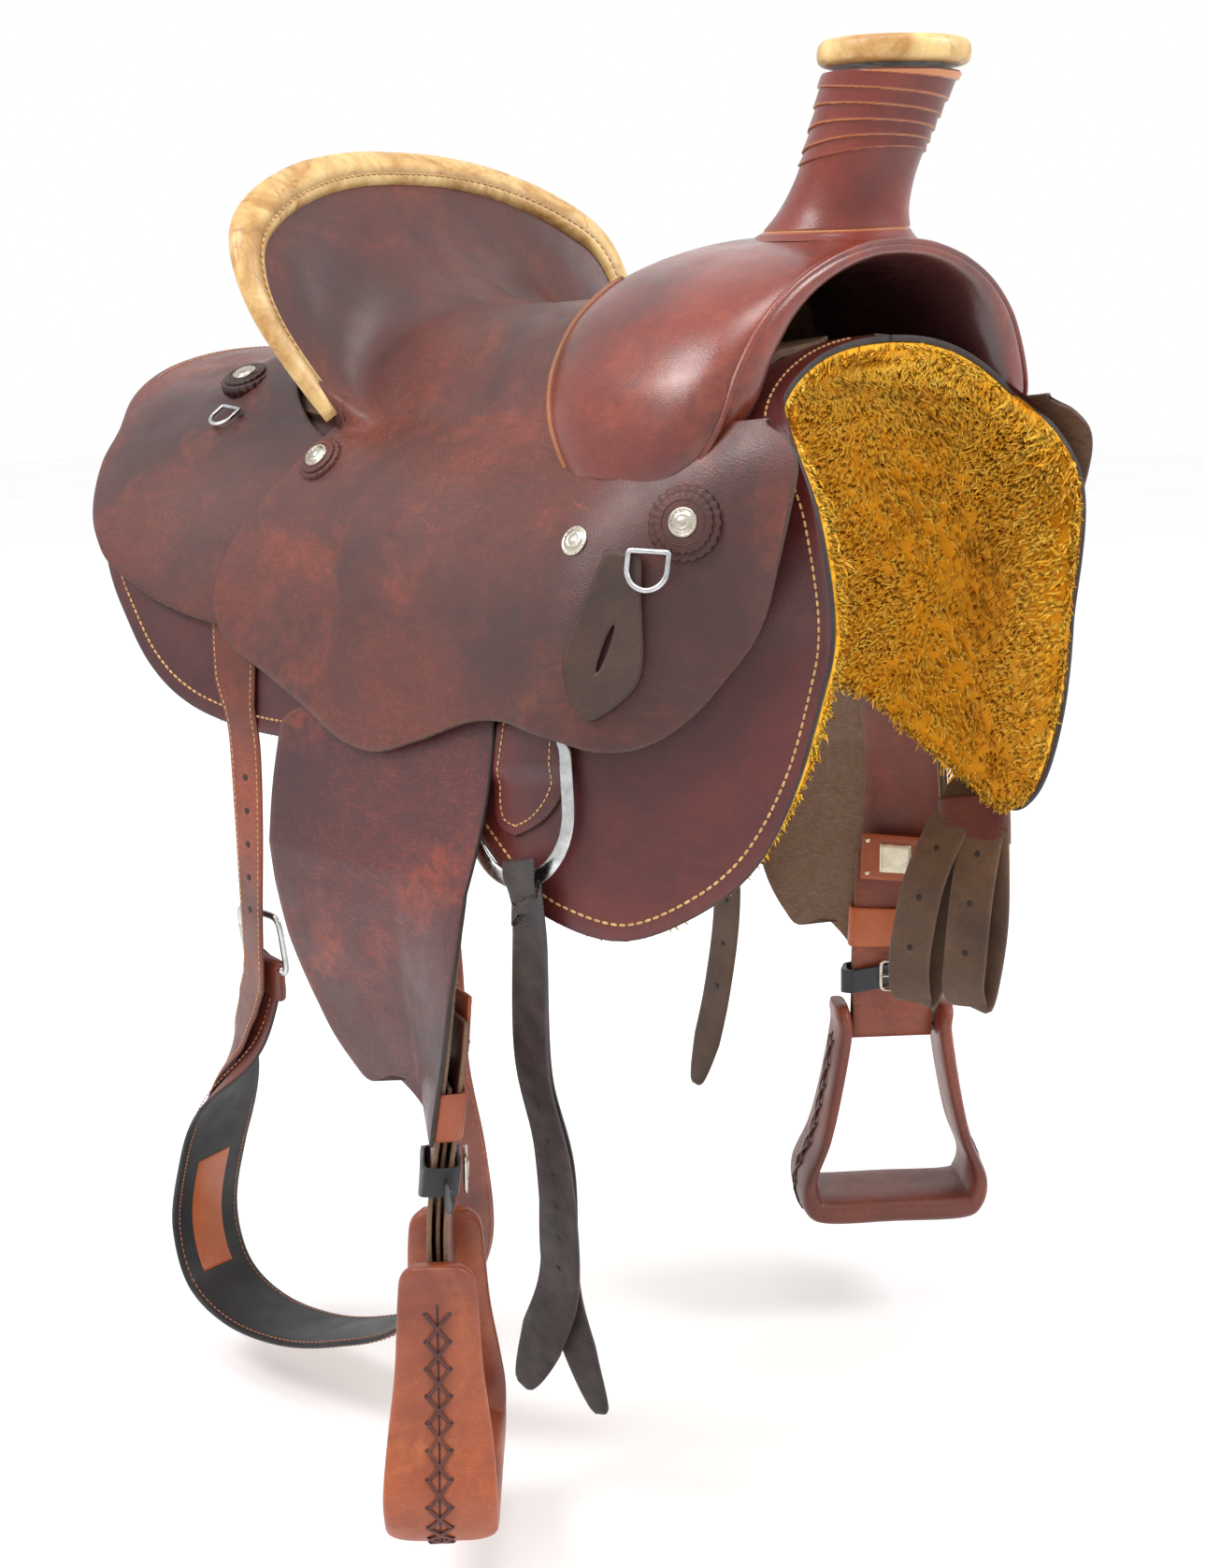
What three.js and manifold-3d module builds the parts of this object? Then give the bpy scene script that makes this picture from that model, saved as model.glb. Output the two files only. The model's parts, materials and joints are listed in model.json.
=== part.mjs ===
// A western saddle: wooden tree, leather seat, skirts with fleece, rigging, fenders and stirrups.
// Millimetres. +X is forward, +Y is the horse's left, +Z is up, z = 0 is the top line of the horse's back.
// Leather is laid over one curved "lay" surface: x runs along the horse, v is the distance down
// from the spine and d is the height above the horse, measured square to the surface.
import * as THREE from 'three';
import { mergeVertices } from 'three/addons/utils/BufferGeometryUtils.js';
import Module from 'manifold-3d';

const wasm = await Module();
wasm.setup();

// ---- driving dimensions -------------------------------------------------------------------
const GAP = 0.4;                 // clearance between touching pieces
const SPINE = 42;                // height of the fleece over the spine at mid seat
const WITHERS_RISE = 32;         // extra height over the withers
const LOIN_RISE = 8;             // extra height over the loin
const SIDE_FALL = 195;           // distance from the spine in which the side turns down
const SIDE_ANGLE = 86;           // final steepness of the side, degrees
const NOSE_TUCK = 85;            // how far the lower front corners curl in to the horse

const FLEECE = [0.3, 12.1];      // [inside, outside] heights of each layer
const SKIRT = [12.5, 17];
const STRAP = [17.5, 21];
const REAR_JOCKEY = [22, 26];
const SEAT = 37;                 // outside of the seat leather on the jockeys
const LEATHER = 4;               // thickness of the seat leather
const BAR_RISE = 14;             // extra thickness in the middle of a tree bar
const BAR_EDGE = 1.6;            // thickness of a bar at its rim

const LIFT_Z = -193;                         // hinge line of a fender, just under the jockey
const LEG_TURN = THREE.MathUtils.degToRad(47);   // turn of the stirrup leather at the stirrup
const LEG_REAR_X = 16;                       // rear edge of the stirrup leather
const BOLT_Z = { R: -545, L: -512 };         // the right leathers are buckled longer
const BOLT_R = 4;
const HOBBLE_Z = { R: -470, L: -458 };       // the hobble straps are buckled at different heights

const HORN_BASE = new THREE.Vector3(176, 0, 150);
const HORN_TOP = new THREE.Vector3(224, 0, 262);
const CAP_R = 50;

// ---- small helpers ------------------------------------------------------------------------
const lerp = THREE.MathUtils.lerp;
const clamp01 = (t) => Math.min(1, Math.max(0, t));
const ease = (t) => clamp01(t) ** 2 * (3 - 2 * clamp01(t));
const rad = THREE.MathUtils.degToRad;
const signOf = { R: -1, L: 1 };

function through(points, n, pace = (t) => t) {
  // n + 1 points on a smooth curve through the given [a, b] points, evenly spaced unless paced
  const curve = new THREE.SplineCurve(points.map(([a, b]) => new THREE.Vector2(a, b)));
  curve.arcLengthDivisions = 800;
  const at = Array.from({ length: n + 1 }, (_, i) => curve.getPointAt(pace(i / n)));
  return at.map((p) => [p.x, p.y]);
}

function table(rows, x) {
  // smooth look-up in rows of [x, value]
  let i = 0;
  while (i < rows.length - 2 && x > rows[i + 1][0]) i += 1;
  const t = clamp01((x - rows[i][0]) / (rows[i + 1][0] - rows[i][0]));
  return lerp(rows[i][1], rows[i + 1][1], t);
}

function closed(points, quads) {
  // a closed mesh from points and quads: shared points merged, flat slivers dropped, facing out
  const g = new THREE.BufferGeometry();
  g.setAttribute('position', new THREE.Float32BufferAttribute(points.flatMap((p) => [p.x, p.y, p.z]), 3));
  g.setIndex(quads.flatMap(([a, b, c, e]) => (e === undefined ? [a, b, c] : [a, b, c, a, c, e])));
  const merged = mergeVertices(g, 1e-3);
  const index = Array.from(merged.index.array);
  const kept = [];
  for (let i = 0; i < index.length; i += 3) {
    const [a, b, c] = index.slice(i, i + 3);
    if (a !== b && b !== c && a !== c) kept.push(a, b, c);
  }
  merged.setIndex(kept);
  return volume(merged) < 0 ? flipped(merged) : merged;
}

function volume(g) {
  const p = g.attributes.position;
  const [a, b, c] = [new THREE.Vector3(), new THREE.Vector3(), new THREE.Vector3()];
  let sum = 0;
  for (let i = 0; i < g.index.count; i += 3) {
    a.fromBufferAttribute(p, g.index.getX(i));
    b.fromBufferAttribute(p, g.index.getX(i + 1));
    c.fromBufferAttribute(p, g.index.getX(i + 2));
    sum += a.dot(b.cross(c)) / 6;
  }
  return sum;
}

function flipped(g) {
  const index = g.index.array;
  for (let i = 0; i < index.length; i += 3) [index[i], index[i + 1]] = [index[i + 1], index[i]];
  return g;
}

function toSolid(geometry) {
  const g = geometry.clone();
  g.deleteAttribute('normal');
  g.deleteAttribute('uv');
  const m = g.index ? g : mergeVertices(g, 1e-3);
  const mesh = new wasm.Mesh({
    numProp: 3,
    vertProperties: new Float32Array(m.attributes.position.array),
    triVerts: new Uint32Array(m.index.array),
  });
  return new wasm.Manifold(mesh);
}

const FINEST = 0.03;                         // features smaller than this are merged after a cut

function toGeometry(solid) {
  const mesh = solid.simplify(FINEST).getMesh();
  const g = new THREE.BufferGeometry();
  g.setAttribute('position', new THREE.Float32BufferAttribute(mesh.vertProperties, 3));
  g.setIndex(Array.from(mesh.triVerts));
  return g;
}

const cut = (geometry, ...tools) =>
  mainBody(toGeometry(tools.reduce((s, t) => s.subtract(toSolid(t)), toSolid(geometry))));
const join = (...parts) =>
  toGeometry(parts.slice(1).reduce((s, t) => s.add(toSolid(t)), toSolid(parts[0])));

function mainBody(g) {
  // drops crumbs that a cut leaves beside the main body
  const parent = Array.from({ length: g.attributes.position.count }, (_, i) => i);
  const root = (i) => {
    let r = i;
    while (parent[r] !== r) r = parent[r];
    return r;
  };
  const index = Array.from(g.index.array);
  for (let i = 0; i < index.length; i += 3) {
    parent[root(index[i])] = root(index[i + 1]);
    parent[root(index[i + 1])] = root(index[i + 2]);
  }
  const sizes = new Map();
  index.forEach((i) => sizes.set(root(i), (sizes.get(root(i)) ?? 0) + 1));
  const main = [...sizes].sort((a, b) => b[1] - a[1])[0][0];
  g.setIndex(index.filter((_, i) => root(index[i - (i % 3)]) === main));
  return g;
}

// ---- the lay surface ----------------------------------------------------------------------
const profiles = new Map();
function profile(x) {
  // running [y, z] down the side at one station, in steps of 2 mm
  const k = Math.round(ease((x + 150) / -220) * 400) / 400;
  if (!profiles.has(k)) {
    const fall = SIDE_FALL + 25 * k;
    const angle = rad(SIDE_ANGLE - 3 * k);
    const rows = [[0, 0]];
    for (let v = 0; v < 900; v += 2) {
      const turn = angle * (1 - Math.exp(-(((v + 1) / fall) ** 1.6)));
      const [y, z] = rows[rows.length - 1];
      rows.push([y + 2 * Math.cos(turn), z - 2 * Math.sin(turn)]);
    }
    profiles.set(k, rows);
  }
  return profiles.get(k);
}

function layBase(x, v) {
  const rows = profile(x);
  const i = Math.max(0, Math.min(rows.length - 2, Math.floor(v / 2)));
  const t = v / 2 - i;
  const top = SPINE + WITHERS_RISE * ease((x - 20) / 210) + LOIN_RISE * ease((-150 - x) / 250);
  const z = top + lerp(rows[i][1], rows[i + 1][1], t);
  const tuck = NOSE_TUCK * ease((x - 130) / 150) * ease((70 - z) / 190);
  return new THREE.Vector3(x, lerp(rows[i][0], rows[i + 1][0], t) - tuck, z);
}

function lay(side, x, v, d) {
  // the point at height d over the surface, on side 'R' or 'L'
  const p = layBase(x, v);
  const along = layBase(x + 3, v).sub(layBase(x - 3, v));
  const down = layBase(x, v + 3).sub(layBase(x, Math.max(0, v - 3)));
  const n = down.cross(along).normalize();
  if (n.z + n.y < 0) n.negate();
  if (v < 1) n.y = 0;
  p.addScaledVector(n, d);
  if (v < 0.01) p.y = 0;
  p.y *= signOf[side];
  return p;
}

const barShape = (v) => Math.max(0, 1 - ((v - 79) / 58) ** 2) ** 0.8;
const barEnds = (x) => ease((x + 350) / 60) * ease((212 - x) / 40);
const barLift = (x, v) => BAR_RISE * barShape(v) * barEnds(x);
const barTop = (x, v) => SKIRT[1] + GAP + BAR_EDGE + barLift(x, v);

function leaf(side, edgeA, edgeB, nT, nS, inside, outside, put = lay, pace = undefined) {
  // a sheet between two edges: a closed solid from height inside(x, v) to outside(x, v)
  const A = through(edgeA, nT);
  const B = through(edgeB, nT, pace);
  const low = typeof inside === 'number' ? () => inside : inside;
  const high = typeof outside === 'number' ? () => outside : outside;
  const points = [];
  for (const height of [low, high]) {
    for (let i = 0; i <= nT; i += 1) {
      for (let j = 0; j <= nS; j += 1) {
        const x = lerp(A[i][0], B[i][0], j / nS);
        const v = lerp(A[i][1], B[i][1], j / nS);
        points.push(put(side, x, v, height(x, v)));
      }
    }
  }
  return closed(points, sheetQuads(nT, nS));
}

// the lay surface is faceted on one grid, so that every layer laid on it runs parallel
const GRID_X = Array.from({ length: 17 }, (_, i) => -460 + i * 47);
const GRID_V = [0, 26, 79, 132, 165, 200, 240, 290, 350, 420, 500];

function triangleWeights([a, b, c], [x, v]) {
  const det = (b[0] - a[0]) * (c[1] - a[1]) - (c[0] - a[0]) * (b[1] - a[1]);
  const s = ((x - a[0]) * (c[1] - a[1]) - (c[0] - a[0]) * (v - a[1])) / det;
  const t = ((b[0] - a[0]) * (v - a[1]) - (x - a[0]) * (b[1] - a[1])) / det;
  return [1 - s - t, s, t];
}

function gridTriangles() {
  const list = [];
  for (let i = 0; i < GRID_X.length - 1; i += 1) {
    for (let j = 0; j < GRID_V.length - 1; j += 1) {
      const [x0, x1, v0, v1] = [GRID_X[i], GRID_X[i + 1], GRID_V[j], GRID_V[j + 1]];
      list.push([[x0, v0], [x1, v0], [x1, v1]], [[x0, v0], [x1, v1], [x0, v1]]);
    }
  }
  return list;
}

function sheet(side, outline, inside, outside) {
  // the part of the faceted lay surface within an outline of [x, v] points, as a closed solid
  const low = typeof inside === 'number' ? () => inside : inside;
  const high = typeof outside === 'number' ? () => outside : outside;
  const region = new wasm.CrossSection([outline], 'NonZero');
  const keys = new Map();
  const lows = [];
  const highs = [];
  const faces = [];
  const vertex = (corners, p) => {
    const key = `${Math.round(p[0] * 1e3)},${Math.round(p[1] * 1e3)}`;
    if (!keys.has(key)) {
      keys.set(key, lows.length);
      const w = triangleWeights(corners, p);
      for (const [list, height] of [[lows, low], [highs, high]]) {
        const sum = new THREE.Vector3();
        corners.forEach(([x, v], i) => sum.addScaledVector(lay(side, x, v, height(x, v)), w[i]));
        list.push(sum);
      }
    }
    return keys.get(key);
  };
  for (const corners of gridTriangles()) {
    const cell = region.intersect(new wasm.CrossSection([corners], 'NonZero'));
    for (const contour of cell.toPolygons()) {
      const points = contour.map((p) => new THREE.Vector2(p[0], p[1]));
      for (const [a, b, c] of THREE.ShapeUtils.triangulateShape(points, [])) {
        const f = [a, b, c].map((i) => vertex(corners, contour[i]));
        if (new Set(f).size === 3) faces.push(f);
      }
    }
  }
  return closed([...lows, ...highs], shellFaces(faces, lows.length));
}

function shellFaces(faces, n) {
  // outer and inner skins of a sheet and the rim that joins them
  const rims = new Map();
  for (const [a, b, c] of faces) {
    for (const [p, q] of [[a, b], [b, c], [c, a]]) {
      if (rims.has(`${q},${p}`)) rims.delete(`${q},${p}`);
      else rims.set(`${p},${q}`, [p, q]);
    }
  }
  const skins = faces.flatMap(([a, b, c]) => [[a + n, b + n, c + n], [c, b, a]]);
  return [...skins, ...[...rims.values()].map(([p, q]) => [p, q, q + n, p + n])];
}

function sheetQuads(nT, nS) {
  const at = (layer, i, j) => (layer * (nT + 1) + i) * (nS + 1) + j;
  const quads = [];
  for (let i = 0; i < nT; i += 1) {
    for (let j = 0; j < nS; j += 1) {
      quads.push([at(1, i, j), at(1, i + 1, j), at(1, i + 1, j + 1), at(1, i, j + 1)]);
      quads.push([at(0, i, j), at(0, i, j + 1), at(0, i + 1, j + 1), at(0, i + 1, j)]);
    }
    quads.push([at(0, i, 0), at(0, i + 1, 0), at(1, i + 1, 0), at(1, i, 0)]);
    quads.push([at(0, i, nS), at(1, i, nS), at(1, i + 1, nS), at(0, i + 1, nS)]);
  }
  for (let j = 0; j < nS; j += 1) {
    quads.push([at(0, 0, j), at(1, 0, j), at(1, 0, j + 1), at(0, 0, j + 1)]);
    quads.push([at(0, nT, j), at(0, nT, j + 1), at(1, nT, j + 1), at(1, nT, j)]);
  }
  return quads;
}

function loft(rings, inner) {
  // a solid through rings of equal point counts; with inner rings it is a sleeve open at both ends
  const n = rings[0].length;
  const points = rings.flat();
  const quads = [];
  const skin = (base, count) => {
    for (let i = 0; i < count - 1; i += 1) {
      for (let j = 0; j < n; j += 1) {
        const a = base + i * n + j;
        const b = base + i * n + ((j + 1) % n);
        quads.push(base ? [a, a + n, b + n, b] : [a, b, b + n, a + n]);
      }
    }
  };
  skin(0, rings.length);
  if (inner) {
    const base = points.length;
    points.push(...inner.flat());
    skin(base, inner.length);
    const last = (rings.length - 1) * n;
    const innerLast = base + (inner.length - 1) * n;
    for (let j = 0; j < n; j += 1) {
      const k = (j + 1) % n;
      quads.push([j, base + j, base + k, k]);
      quads.push([last + j, last + k, innerLast + k, innerLast + j]);
    }
  } else {
    for (const [start, back] of [[0, true], [(rings.length - 1) * n, false]]) {
      const centre = new THREE.Vector3();
      for (let j = 0; j < n; j += 1) centre.addScaledVector(points[start + j], 1 / n);
      const c = points.push(centre) - 1;
      for (let j = 0; j < n; j += 1) {
        const k = (j + 1) % n;
        quads.push(back ? [c, start + k, start + j] : [c, start + j, start + k]);
      }
    }
  }
  return closed(points, quads);
}

function oval(centre, u, w, a, b, n, power = 2) {
  // n points of a superellipse with half axes a along u and b along w
  const bend = (c) => Math.sign(c) * Math.abs(c) ** (2 / power);
  return Array.from({ length: n }, (_, i) => {
    const t = ((i + 0.5) / n) * 2 * Math.PI;
    return centre.clone()
      .addScaledVector(u, a * bend(Math.cos(t)))
      .addScaledVector(w, b * bend(Math.sin(t)));
  });
}

function ribbon(path, across, width, thickness) {
  // a flat strap: path of centre points, across(i) its width direction at each point
  const rings = path.map((p, i) => {
    const ahead = path[Math.min(i + 1, path.length - 1)];
    const behind = path[Math.max(i - 1, 0)];
    const w = across(i).clone().normalize();
    const n = ahead.clone().sub(behind).cross(w).normalize();
    const half = typeof width === 'number' ? width / 2 : width(i) / 2;
    return [[-1, -1], [1, -1], [1, 1], [-1, 1]].map(([s, t]) =>
      p.clone().addScaledVector(w, s * half).addScaledVector(n, (t * thickness) / 2));
  });
  return loft(rings);
}

function smooth3(points, n) {
  const curve = new THREE.CatmullRomCurve3(points.map((p) => new THREE.Vector3(...p)));
  return curve.getSpacedPoints(n);
}

const group = new THREE.Group();
const finish = {
  leather: { color: 0x5d2a22, roughness: 0.45, metalness: 0 },
  darkLeather: { color: 0x3a211d, roughness: 0.5, metalness: 0 },
  tanLeather: { color: 0x9a4f27, roughness: 0.5, metalness: 0 },
  blackLeather: { color: 0x1d1d22, roughness: 0.5, metalness: 0 },
  rawhide: { color: 0xc9a466, roughness: 0.55, metalness: 0 },
  fleece: { color: 0xd9921e, roughness: 0.95, metalness: 0 },
  wood: { color: 0xb08a5a, roughness: 0.7, metalness: 0 },
  steel: { color: 0xc4c4c4, roughness: 0.25, metalness: 1 },
};

function add(name, geometry, kind) {
  const mesh = new THREE.Mesh(geometry, new THREE.MeshStandardMaterial(finish[kind]));
  mesh.name = name;
  group.add(mesh);
  return mesh;
}

// ---- skirts and fleece --------------------------------------------------------------------
const SKIRT_EDGE = [
  [-452, 3], [-450, 60], [-438, 120], [-416, 172], [-388, 224], [-344, 282], [-310, 316],
  [-280, 342], [-246, 358], [-200, 364], [-100, 364], [-8, 366], [50, 388], [106, 436],
  [142, 466], [180, 484], [216, 470], [246, 438], [272, 382], [284, 330], [290, 266],
  [284, 206], [262, 166], [238, 138], [228, 80], [226, 3],
];

function inset(edge, by) {
  // pulls an edge in towards the middle of the skirt
  return edge.map(([x, v]) => {
    const to = new THREE.Vector2(-80 - x, 190 - v).normalize().multiplyScalar(v > 10 ? by : 0);
    return [x + to.x + (v > 10 ? 0 : Math.sign(-80 - x) * by), v + to.y];
  });
}

for (const side of ['R', 'L']) {
  add(`skirt_${side}`, sheet(side, through(SKIRT_EDGE, 34), ...SKIRT), 'leather');
  add(`fleece_${side}`, sheet(side, through(inset(SKIRT_EDGE, 3), 34), ...FLEECE), 'fleece');
}

// ---- the tree: bars, fork, horn core, cantle board ---------------------------------------
for (const side of ['R', 'L']) {
  const outline = [[-335, 40], [-328, 24], [-120, 21], [120, 21], [196, 26], [203, 44],
    [203, 70], [188, 122], [120, 137], [-120, 137], [-322, 118], [-335, 66]];
  add(`tree_bar_${side}`, sheet(side, outline, SKIRT[1] + GAP, barTop), 'wood');
}

function under(side) {
  // everything the tree stands on, with clearance, used to trim what rests on it
  return sheet(side, [[-459, 0.01], [289, 0.01], [289, 330], [-459, 330]], -12, (x, v) => barTop(x, v) + GAP);
}
const HORSE = [under('R'), under('L')];
const skirtClear = (side, out = 1, up = 0) =>
  sheet(side, through(inset(SKIRT_EDGE, -out), 34), -12, SKIRT[1] + GAP + up);

// stations of the fork from the middle to the tip: [outer y, z, inner y, z, rear x, front x]
const FORK = [
  [0, 158, 0, 137, 98, 236],
  [42, 155, 22, 136, 94, 236],
  [86, 145, 46, 131, 84, 236],
  [126, 128, 72, 120, 72, 235],
  [160, 103, 92, 104, 66, 233],
  [184, 70, 108, 80, 66, 230],
  [195, 38, 122, 52, 74, 226],
  [198, 6, 142, 26, 96, 208],
  [190, -16, 166, 0, 122, 176],
];

function forkRing(row, sign, grow) {
  const [yo, zo, yi, zi, xr, xf] = row;
  const outer = new THREE.Vector3(0, sign * yo, zo);
  const inner = new THREE.Vector3(0, sign * yi, zi);
  const centre = outer.clone().add(inner).multiplyScalar(0.5);
  centre.x = (xr + xf) / 2;
  const b = outer.distanceTo(inner) / 2 + grow;
  const u = new THREE.Vector3(1, 0, 0);
  const w = outer.clone().sub(inner).normalize();
  return oval(centre, u, w, (xf - xr) / 2 + grow, b, 12, 2.6);
}

function forkStations() {
  // finer stations by a smooth curve through each column of FORK
  const rows = [];
  const columns = [0, 1, 2, 3, 4, 5].map((c) =>
    new THREE.SplineCurve(FORK.map((r, i) => new THREE.Vector2(i, r[c]))));
  const steps = 8;
  for (let i = 0; i <= steps; i += 1) rows.push(columns.map((c) => c.getPoint(i / steps).y));
  return rows;
}

function forkRings(grow) {
  const rows = forkStations();
  const right = rows.map((r) => forkRing(r, -1, grow)).reverse();
  const left = rows.slice(1).map((r) => forkRing(r, 1, grow));
  return [...right, ...left];
}

const forward = new THREE.Vector3(1, 0, 0);
const sideways = new THREE.Vector3(0, 1, 0);

function hornRing(s, radius, n = 16) {
  // a level ring on the leaning axis of the neck
  return oval(HORN_BASE.clone().lerp(HORN_TOP, s), forward, sideways, radius, radius, n);
}

const NECK_BORE = 27;
const neckHole = loft([hornRing(-0.35, NECK_BORE), hornRing(0.35, NECK_BORE)]);
const forkCover = cut(loft(forkRings(0), forkRings(-4)), ...HORSE, neckHole);
add('fork_cover', forkCover, 'leather');
add('tree_fork', cut(loft(forkRings(-4 - GAP)), ...HORSE), 'wood');

// the horn: a tapered core, its leather wrapping and a rawhide-edged cap
const coreRings = [0.06, 0.2, 0.4, 0.7, 0.975].map((s) => hornRing(s, NECK_BORE - GAP));
const forkWood = loft(forkRings(-4 - GAP + 0.3));
add('horn_core', cut(loft(coreRings), forkWood), 'wood');
const wrapRadii = [[0.02, 56], [0.1, 49], [0.22, 43], [0.4, 40], [0.6, 41], [0.8, 43], [0.965, 46]];
const wrapOuter = wrapRadii.map(([s, r]) => hornRing(s, r));
const wrapInner = wrapRadii.map(([s]) => hornRing(s, NECK_BORE));
add('horn_wrap', cut(loft(wrapOuter, wrapInner), loft(forkRings(0.35))), 'leather');
const capCentre = new THREE.Vector3(HORN_TOP.x, 0, 0);
const level = (z, r, n = 20) => oval(capCentre.clone().setZ(z), forward, sideways, r, r, n);
const rimRings = [[264, 34], [261.6, 46], [266, CAP_R], [274, CAP_R], [278.5, 46], [278.5, 37]];
const rimClosed = [...rimRings, rimRings[0]].map(([z, r]) => level(z, r));
add('horn_cap', loft([[263.4, 26], [263.4, 32], [270, 33.4], [278.2, 35.4], [278.6, 20]]
  .map(([z, r]) => level(z, r))), 'leather');
add('horn_rim', ringSolid(rimClosed), 'rawhide');

function ringSolid(rings) {
  // rings run round a closed section, so first and last are the same
  const n = rings[0].length;
  const m = rings.length - 1;
  const points = rings.slice(0, m).flat();
  const quads = [];
  for (let i = 0; i < m; i += 1) {
    for (let j = 0; j < n; j += 1) {
      const k = (j + 1) % n;
      const next = (i + 1) % m;
      quads.push([i * n + j, i * n + k, next * n + k, next * n + j]);
    }
  }
  return closed(points, quads);
}

// ---- seat ---------------------------------------------------------------------------------
// top edge of the cantle: [v, x, height]
const RIM = [
  [0, -262, 170], [35, -260, 170], [69, -252, 169], [98, -238, 166], [116, -222, 159],
  [128, -204, 138], [135, -188, 112], [141, -166, 76], [147, -145, 38],
];
const rimX = (v) => table(RIM.map((r) => [r[0], r[1]]), v);
const rimD = (v) => table(RIM.map((r) => [r[0], r[2]]), v);
const humpRows = [[-260, 34], [-120, 33], [-50, 35], [20, 41], [70, 50], [110, 58]];

function seatGround(x, v) {
  const hump = table(humpRows, x) * (1 - ease(v / 150));
  return SEAT + 0.75 * barLift(x, v) + hump;
}

function seatTop(x, v) {
  const ground = seatGround(x, v);
  if (v > 147) return ground;
  const span = lerp(165, 70, ease(v / 147));
  const s = clamp01((x - rimX(v)) / span);
  return ground + Math.max(0, rimD(v) - ground) * (1 - s) ** 2.3;
}

const SEAT_EDGE = [
  ...RIM.map(([v, x]) => [x, v]),
  [-150, 162], [-164, 184], [-190, 208], [-206, 236], [-212, 264], [-207, 288], [-186, 306],
  [-140, 320], [-90, 339], [-52, 355], [-12, 359], [28, 347], [72, 335], [108, 336], [142, 349],
  [164, 359], [186, 357], [208, 337], [228, 300], [252, 248], [274, 204], [279, 178], [266, 164],
  [252, 158],
];
const SEAT_SPINE = [
  [-262, 0], [-200, 0], [-130, 0], [-60, 0], [0, 0], [60, 0], [104, 0], [104, 60], [98, 110],
  [112, 160], [140, 194], [180, 188], [212, 164], [236, 154],
];

// how far along the spine each row starts, so that no two rows cross behind the cantle's foot
const SEAT_ROWS = 46;
const SEAT_PACE = [
  [0, 0], [0.2, 0.4], [0.42, 0.46], [0.55, 0.57], [0.65, 0.71], [0.75, 0.785], [0.87, 0.83], [1, 1],
];
const seatPace = (t) => table(SEAT_PACE, t);

function seatHalf(side, grow = 0) {
  const rim = 2;
  const edge = SEAT_EDGE.map(([x, v], i) => (i < RIM.length ? [x + rim, v] : [x, v]));
  const spine = SEAT_SPINE.map(([x, v], i) => (i === 0 ? [x + rim, v] : [x, v]));
  const low = (x, v) => seatTop(x, v) - LEATHER - grow;
  const high = (x, v) => seatTop(x, v) + grow * 20;
  return leaf(side, edge, spine, SEAT_ROWS, 6, low, high, lay, seatPace);
}
const forkClear = loft(forkRings(0.5));
add('seat_leather', cut(join(seatHalf('R'), seatHalf('L')), forkClear), 'leather');

// ground seat: the shaped filler between the bars and the seat leather
function groundSeat() {
  const low = (x, v) => barTop(x, v) + GAP;
  const outline = [[-174, 0], [60, 0], [56, 100], [0, 112], [-100, 108], [-168, 84]];
  return join(sheet('R', outline, low, seatTop), sheet('L', outline, low, seatTop));
}
const seatClear = [seatHalf('R', GAP), seatHalf('L', GAP)];
add('ground_seat', cut(groundSeat(), forkClear, ...seatClear), 'darkLeather');

// cantle board: stands on the bars behind the ground seat
const CANTLE_FOOT = 43;
function seatFront(v, d) {
  // the x where the underside of the seat leather has height d
  let [back, front] = [rimX(v), rimX(v) + 150];
  for (let i = 0; i < 24; i += 1) {
    const mid = (back + front) / 2;
    if (seatTop(mid, v) - LEATHER - 1.2 > d) back = mid;
    else front = mid;
  }
  return back;
}

function cantleGrid(frontOf, backOf, vMax, nV, nD) {
  // a board between two x surfaces over v from -vMax to vMax and height from foot to rim
  const points = [];
  for (const face of [frontOf, backOf]) {
    for (let i = 0; i <= nV; i += 1) {
      const across = lerp(-vMax, vMax, i / nV);
      const v = Math.abs(across);
      for (let j = 0; j <= nD; j += 1) {
        const d = lerp(CANTLE_FOOT, Math.max(CANTLE_FOOT + 6, rimD(v) - 8), j / nD);
        points.push(lay(across < 0 ? 'R' : 'L', face(v, d), v, d));
      }
    }
  }
  return closed(points, sheetQuads(nV, nD));
}
const backLean = (v, d) => rimX(v) - 9 + 0.06 * (rimD(v) - d);
const boardFront = (v, d) => Math.max(backLean(v, d) + 1, Math.min(seatFront(v, d), backLean(v, d) + 34));
add('cantle_board', cut(cantleGrid(boardFront, backLean, 128, 14, 4), ...seatClear), 'wood');
const outsideOf = (v, d) => backLean(v, d) - GAP - 3.4;
add('cantle_back', cantleGrid((v, d) => backLean(v, d) - GAP, outsideOf, 128, 14, 4), 'leather');

// rawhide binding rolled over the cantle's top edge
function binding(grow) {
  const rings = [];
  const n = 26;
  const place = (a) => {
    const v = Math.min(151, Math.abs(a));
    return lay(a < 0 ? 'R' : 'L', rimX(v) - 4, v, rimD(v) + 1);
  };
  const spots = Array.from({ length: n + 1 }, (_, i) => lerp(-146, 146, i / n));
  const centres = spots.map(place);
  const hub = new THREE.Vector3(-150, 0, 90);
  centres.forEach((c, i) => {
    const along = centres[Math.min(n, i + 1)].clone().sub(centres[Math.max(0, i - 1)]).normalize();
    const inward = hub.clone().sub(c).normalize();
    const face = inward.addScaledVector(along, -inward.dot(along)).normalize();
    const thick = along.clone().cross(face).normalize();
    const tip = ease(Math.min(i, n - i) / 4);
    rings.push(oval(c, face, thick, lerp(7, 11, tip) + grow, lerp(4, 7.5, tip) + grow, 8, 2.4));
  });
  return loft(rings);
}
add('cantle_binding', binding(0), 'rawhide');
const bindingClear = binding(GAP);
for (const name of ['seat_leather', 'cantle_board', 'cantle_back']) {
  const mesh = group.children.find((m) => m.name === name);
  mesh.geometry = cut(mesh.geometry, bindingClear);
}

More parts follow.
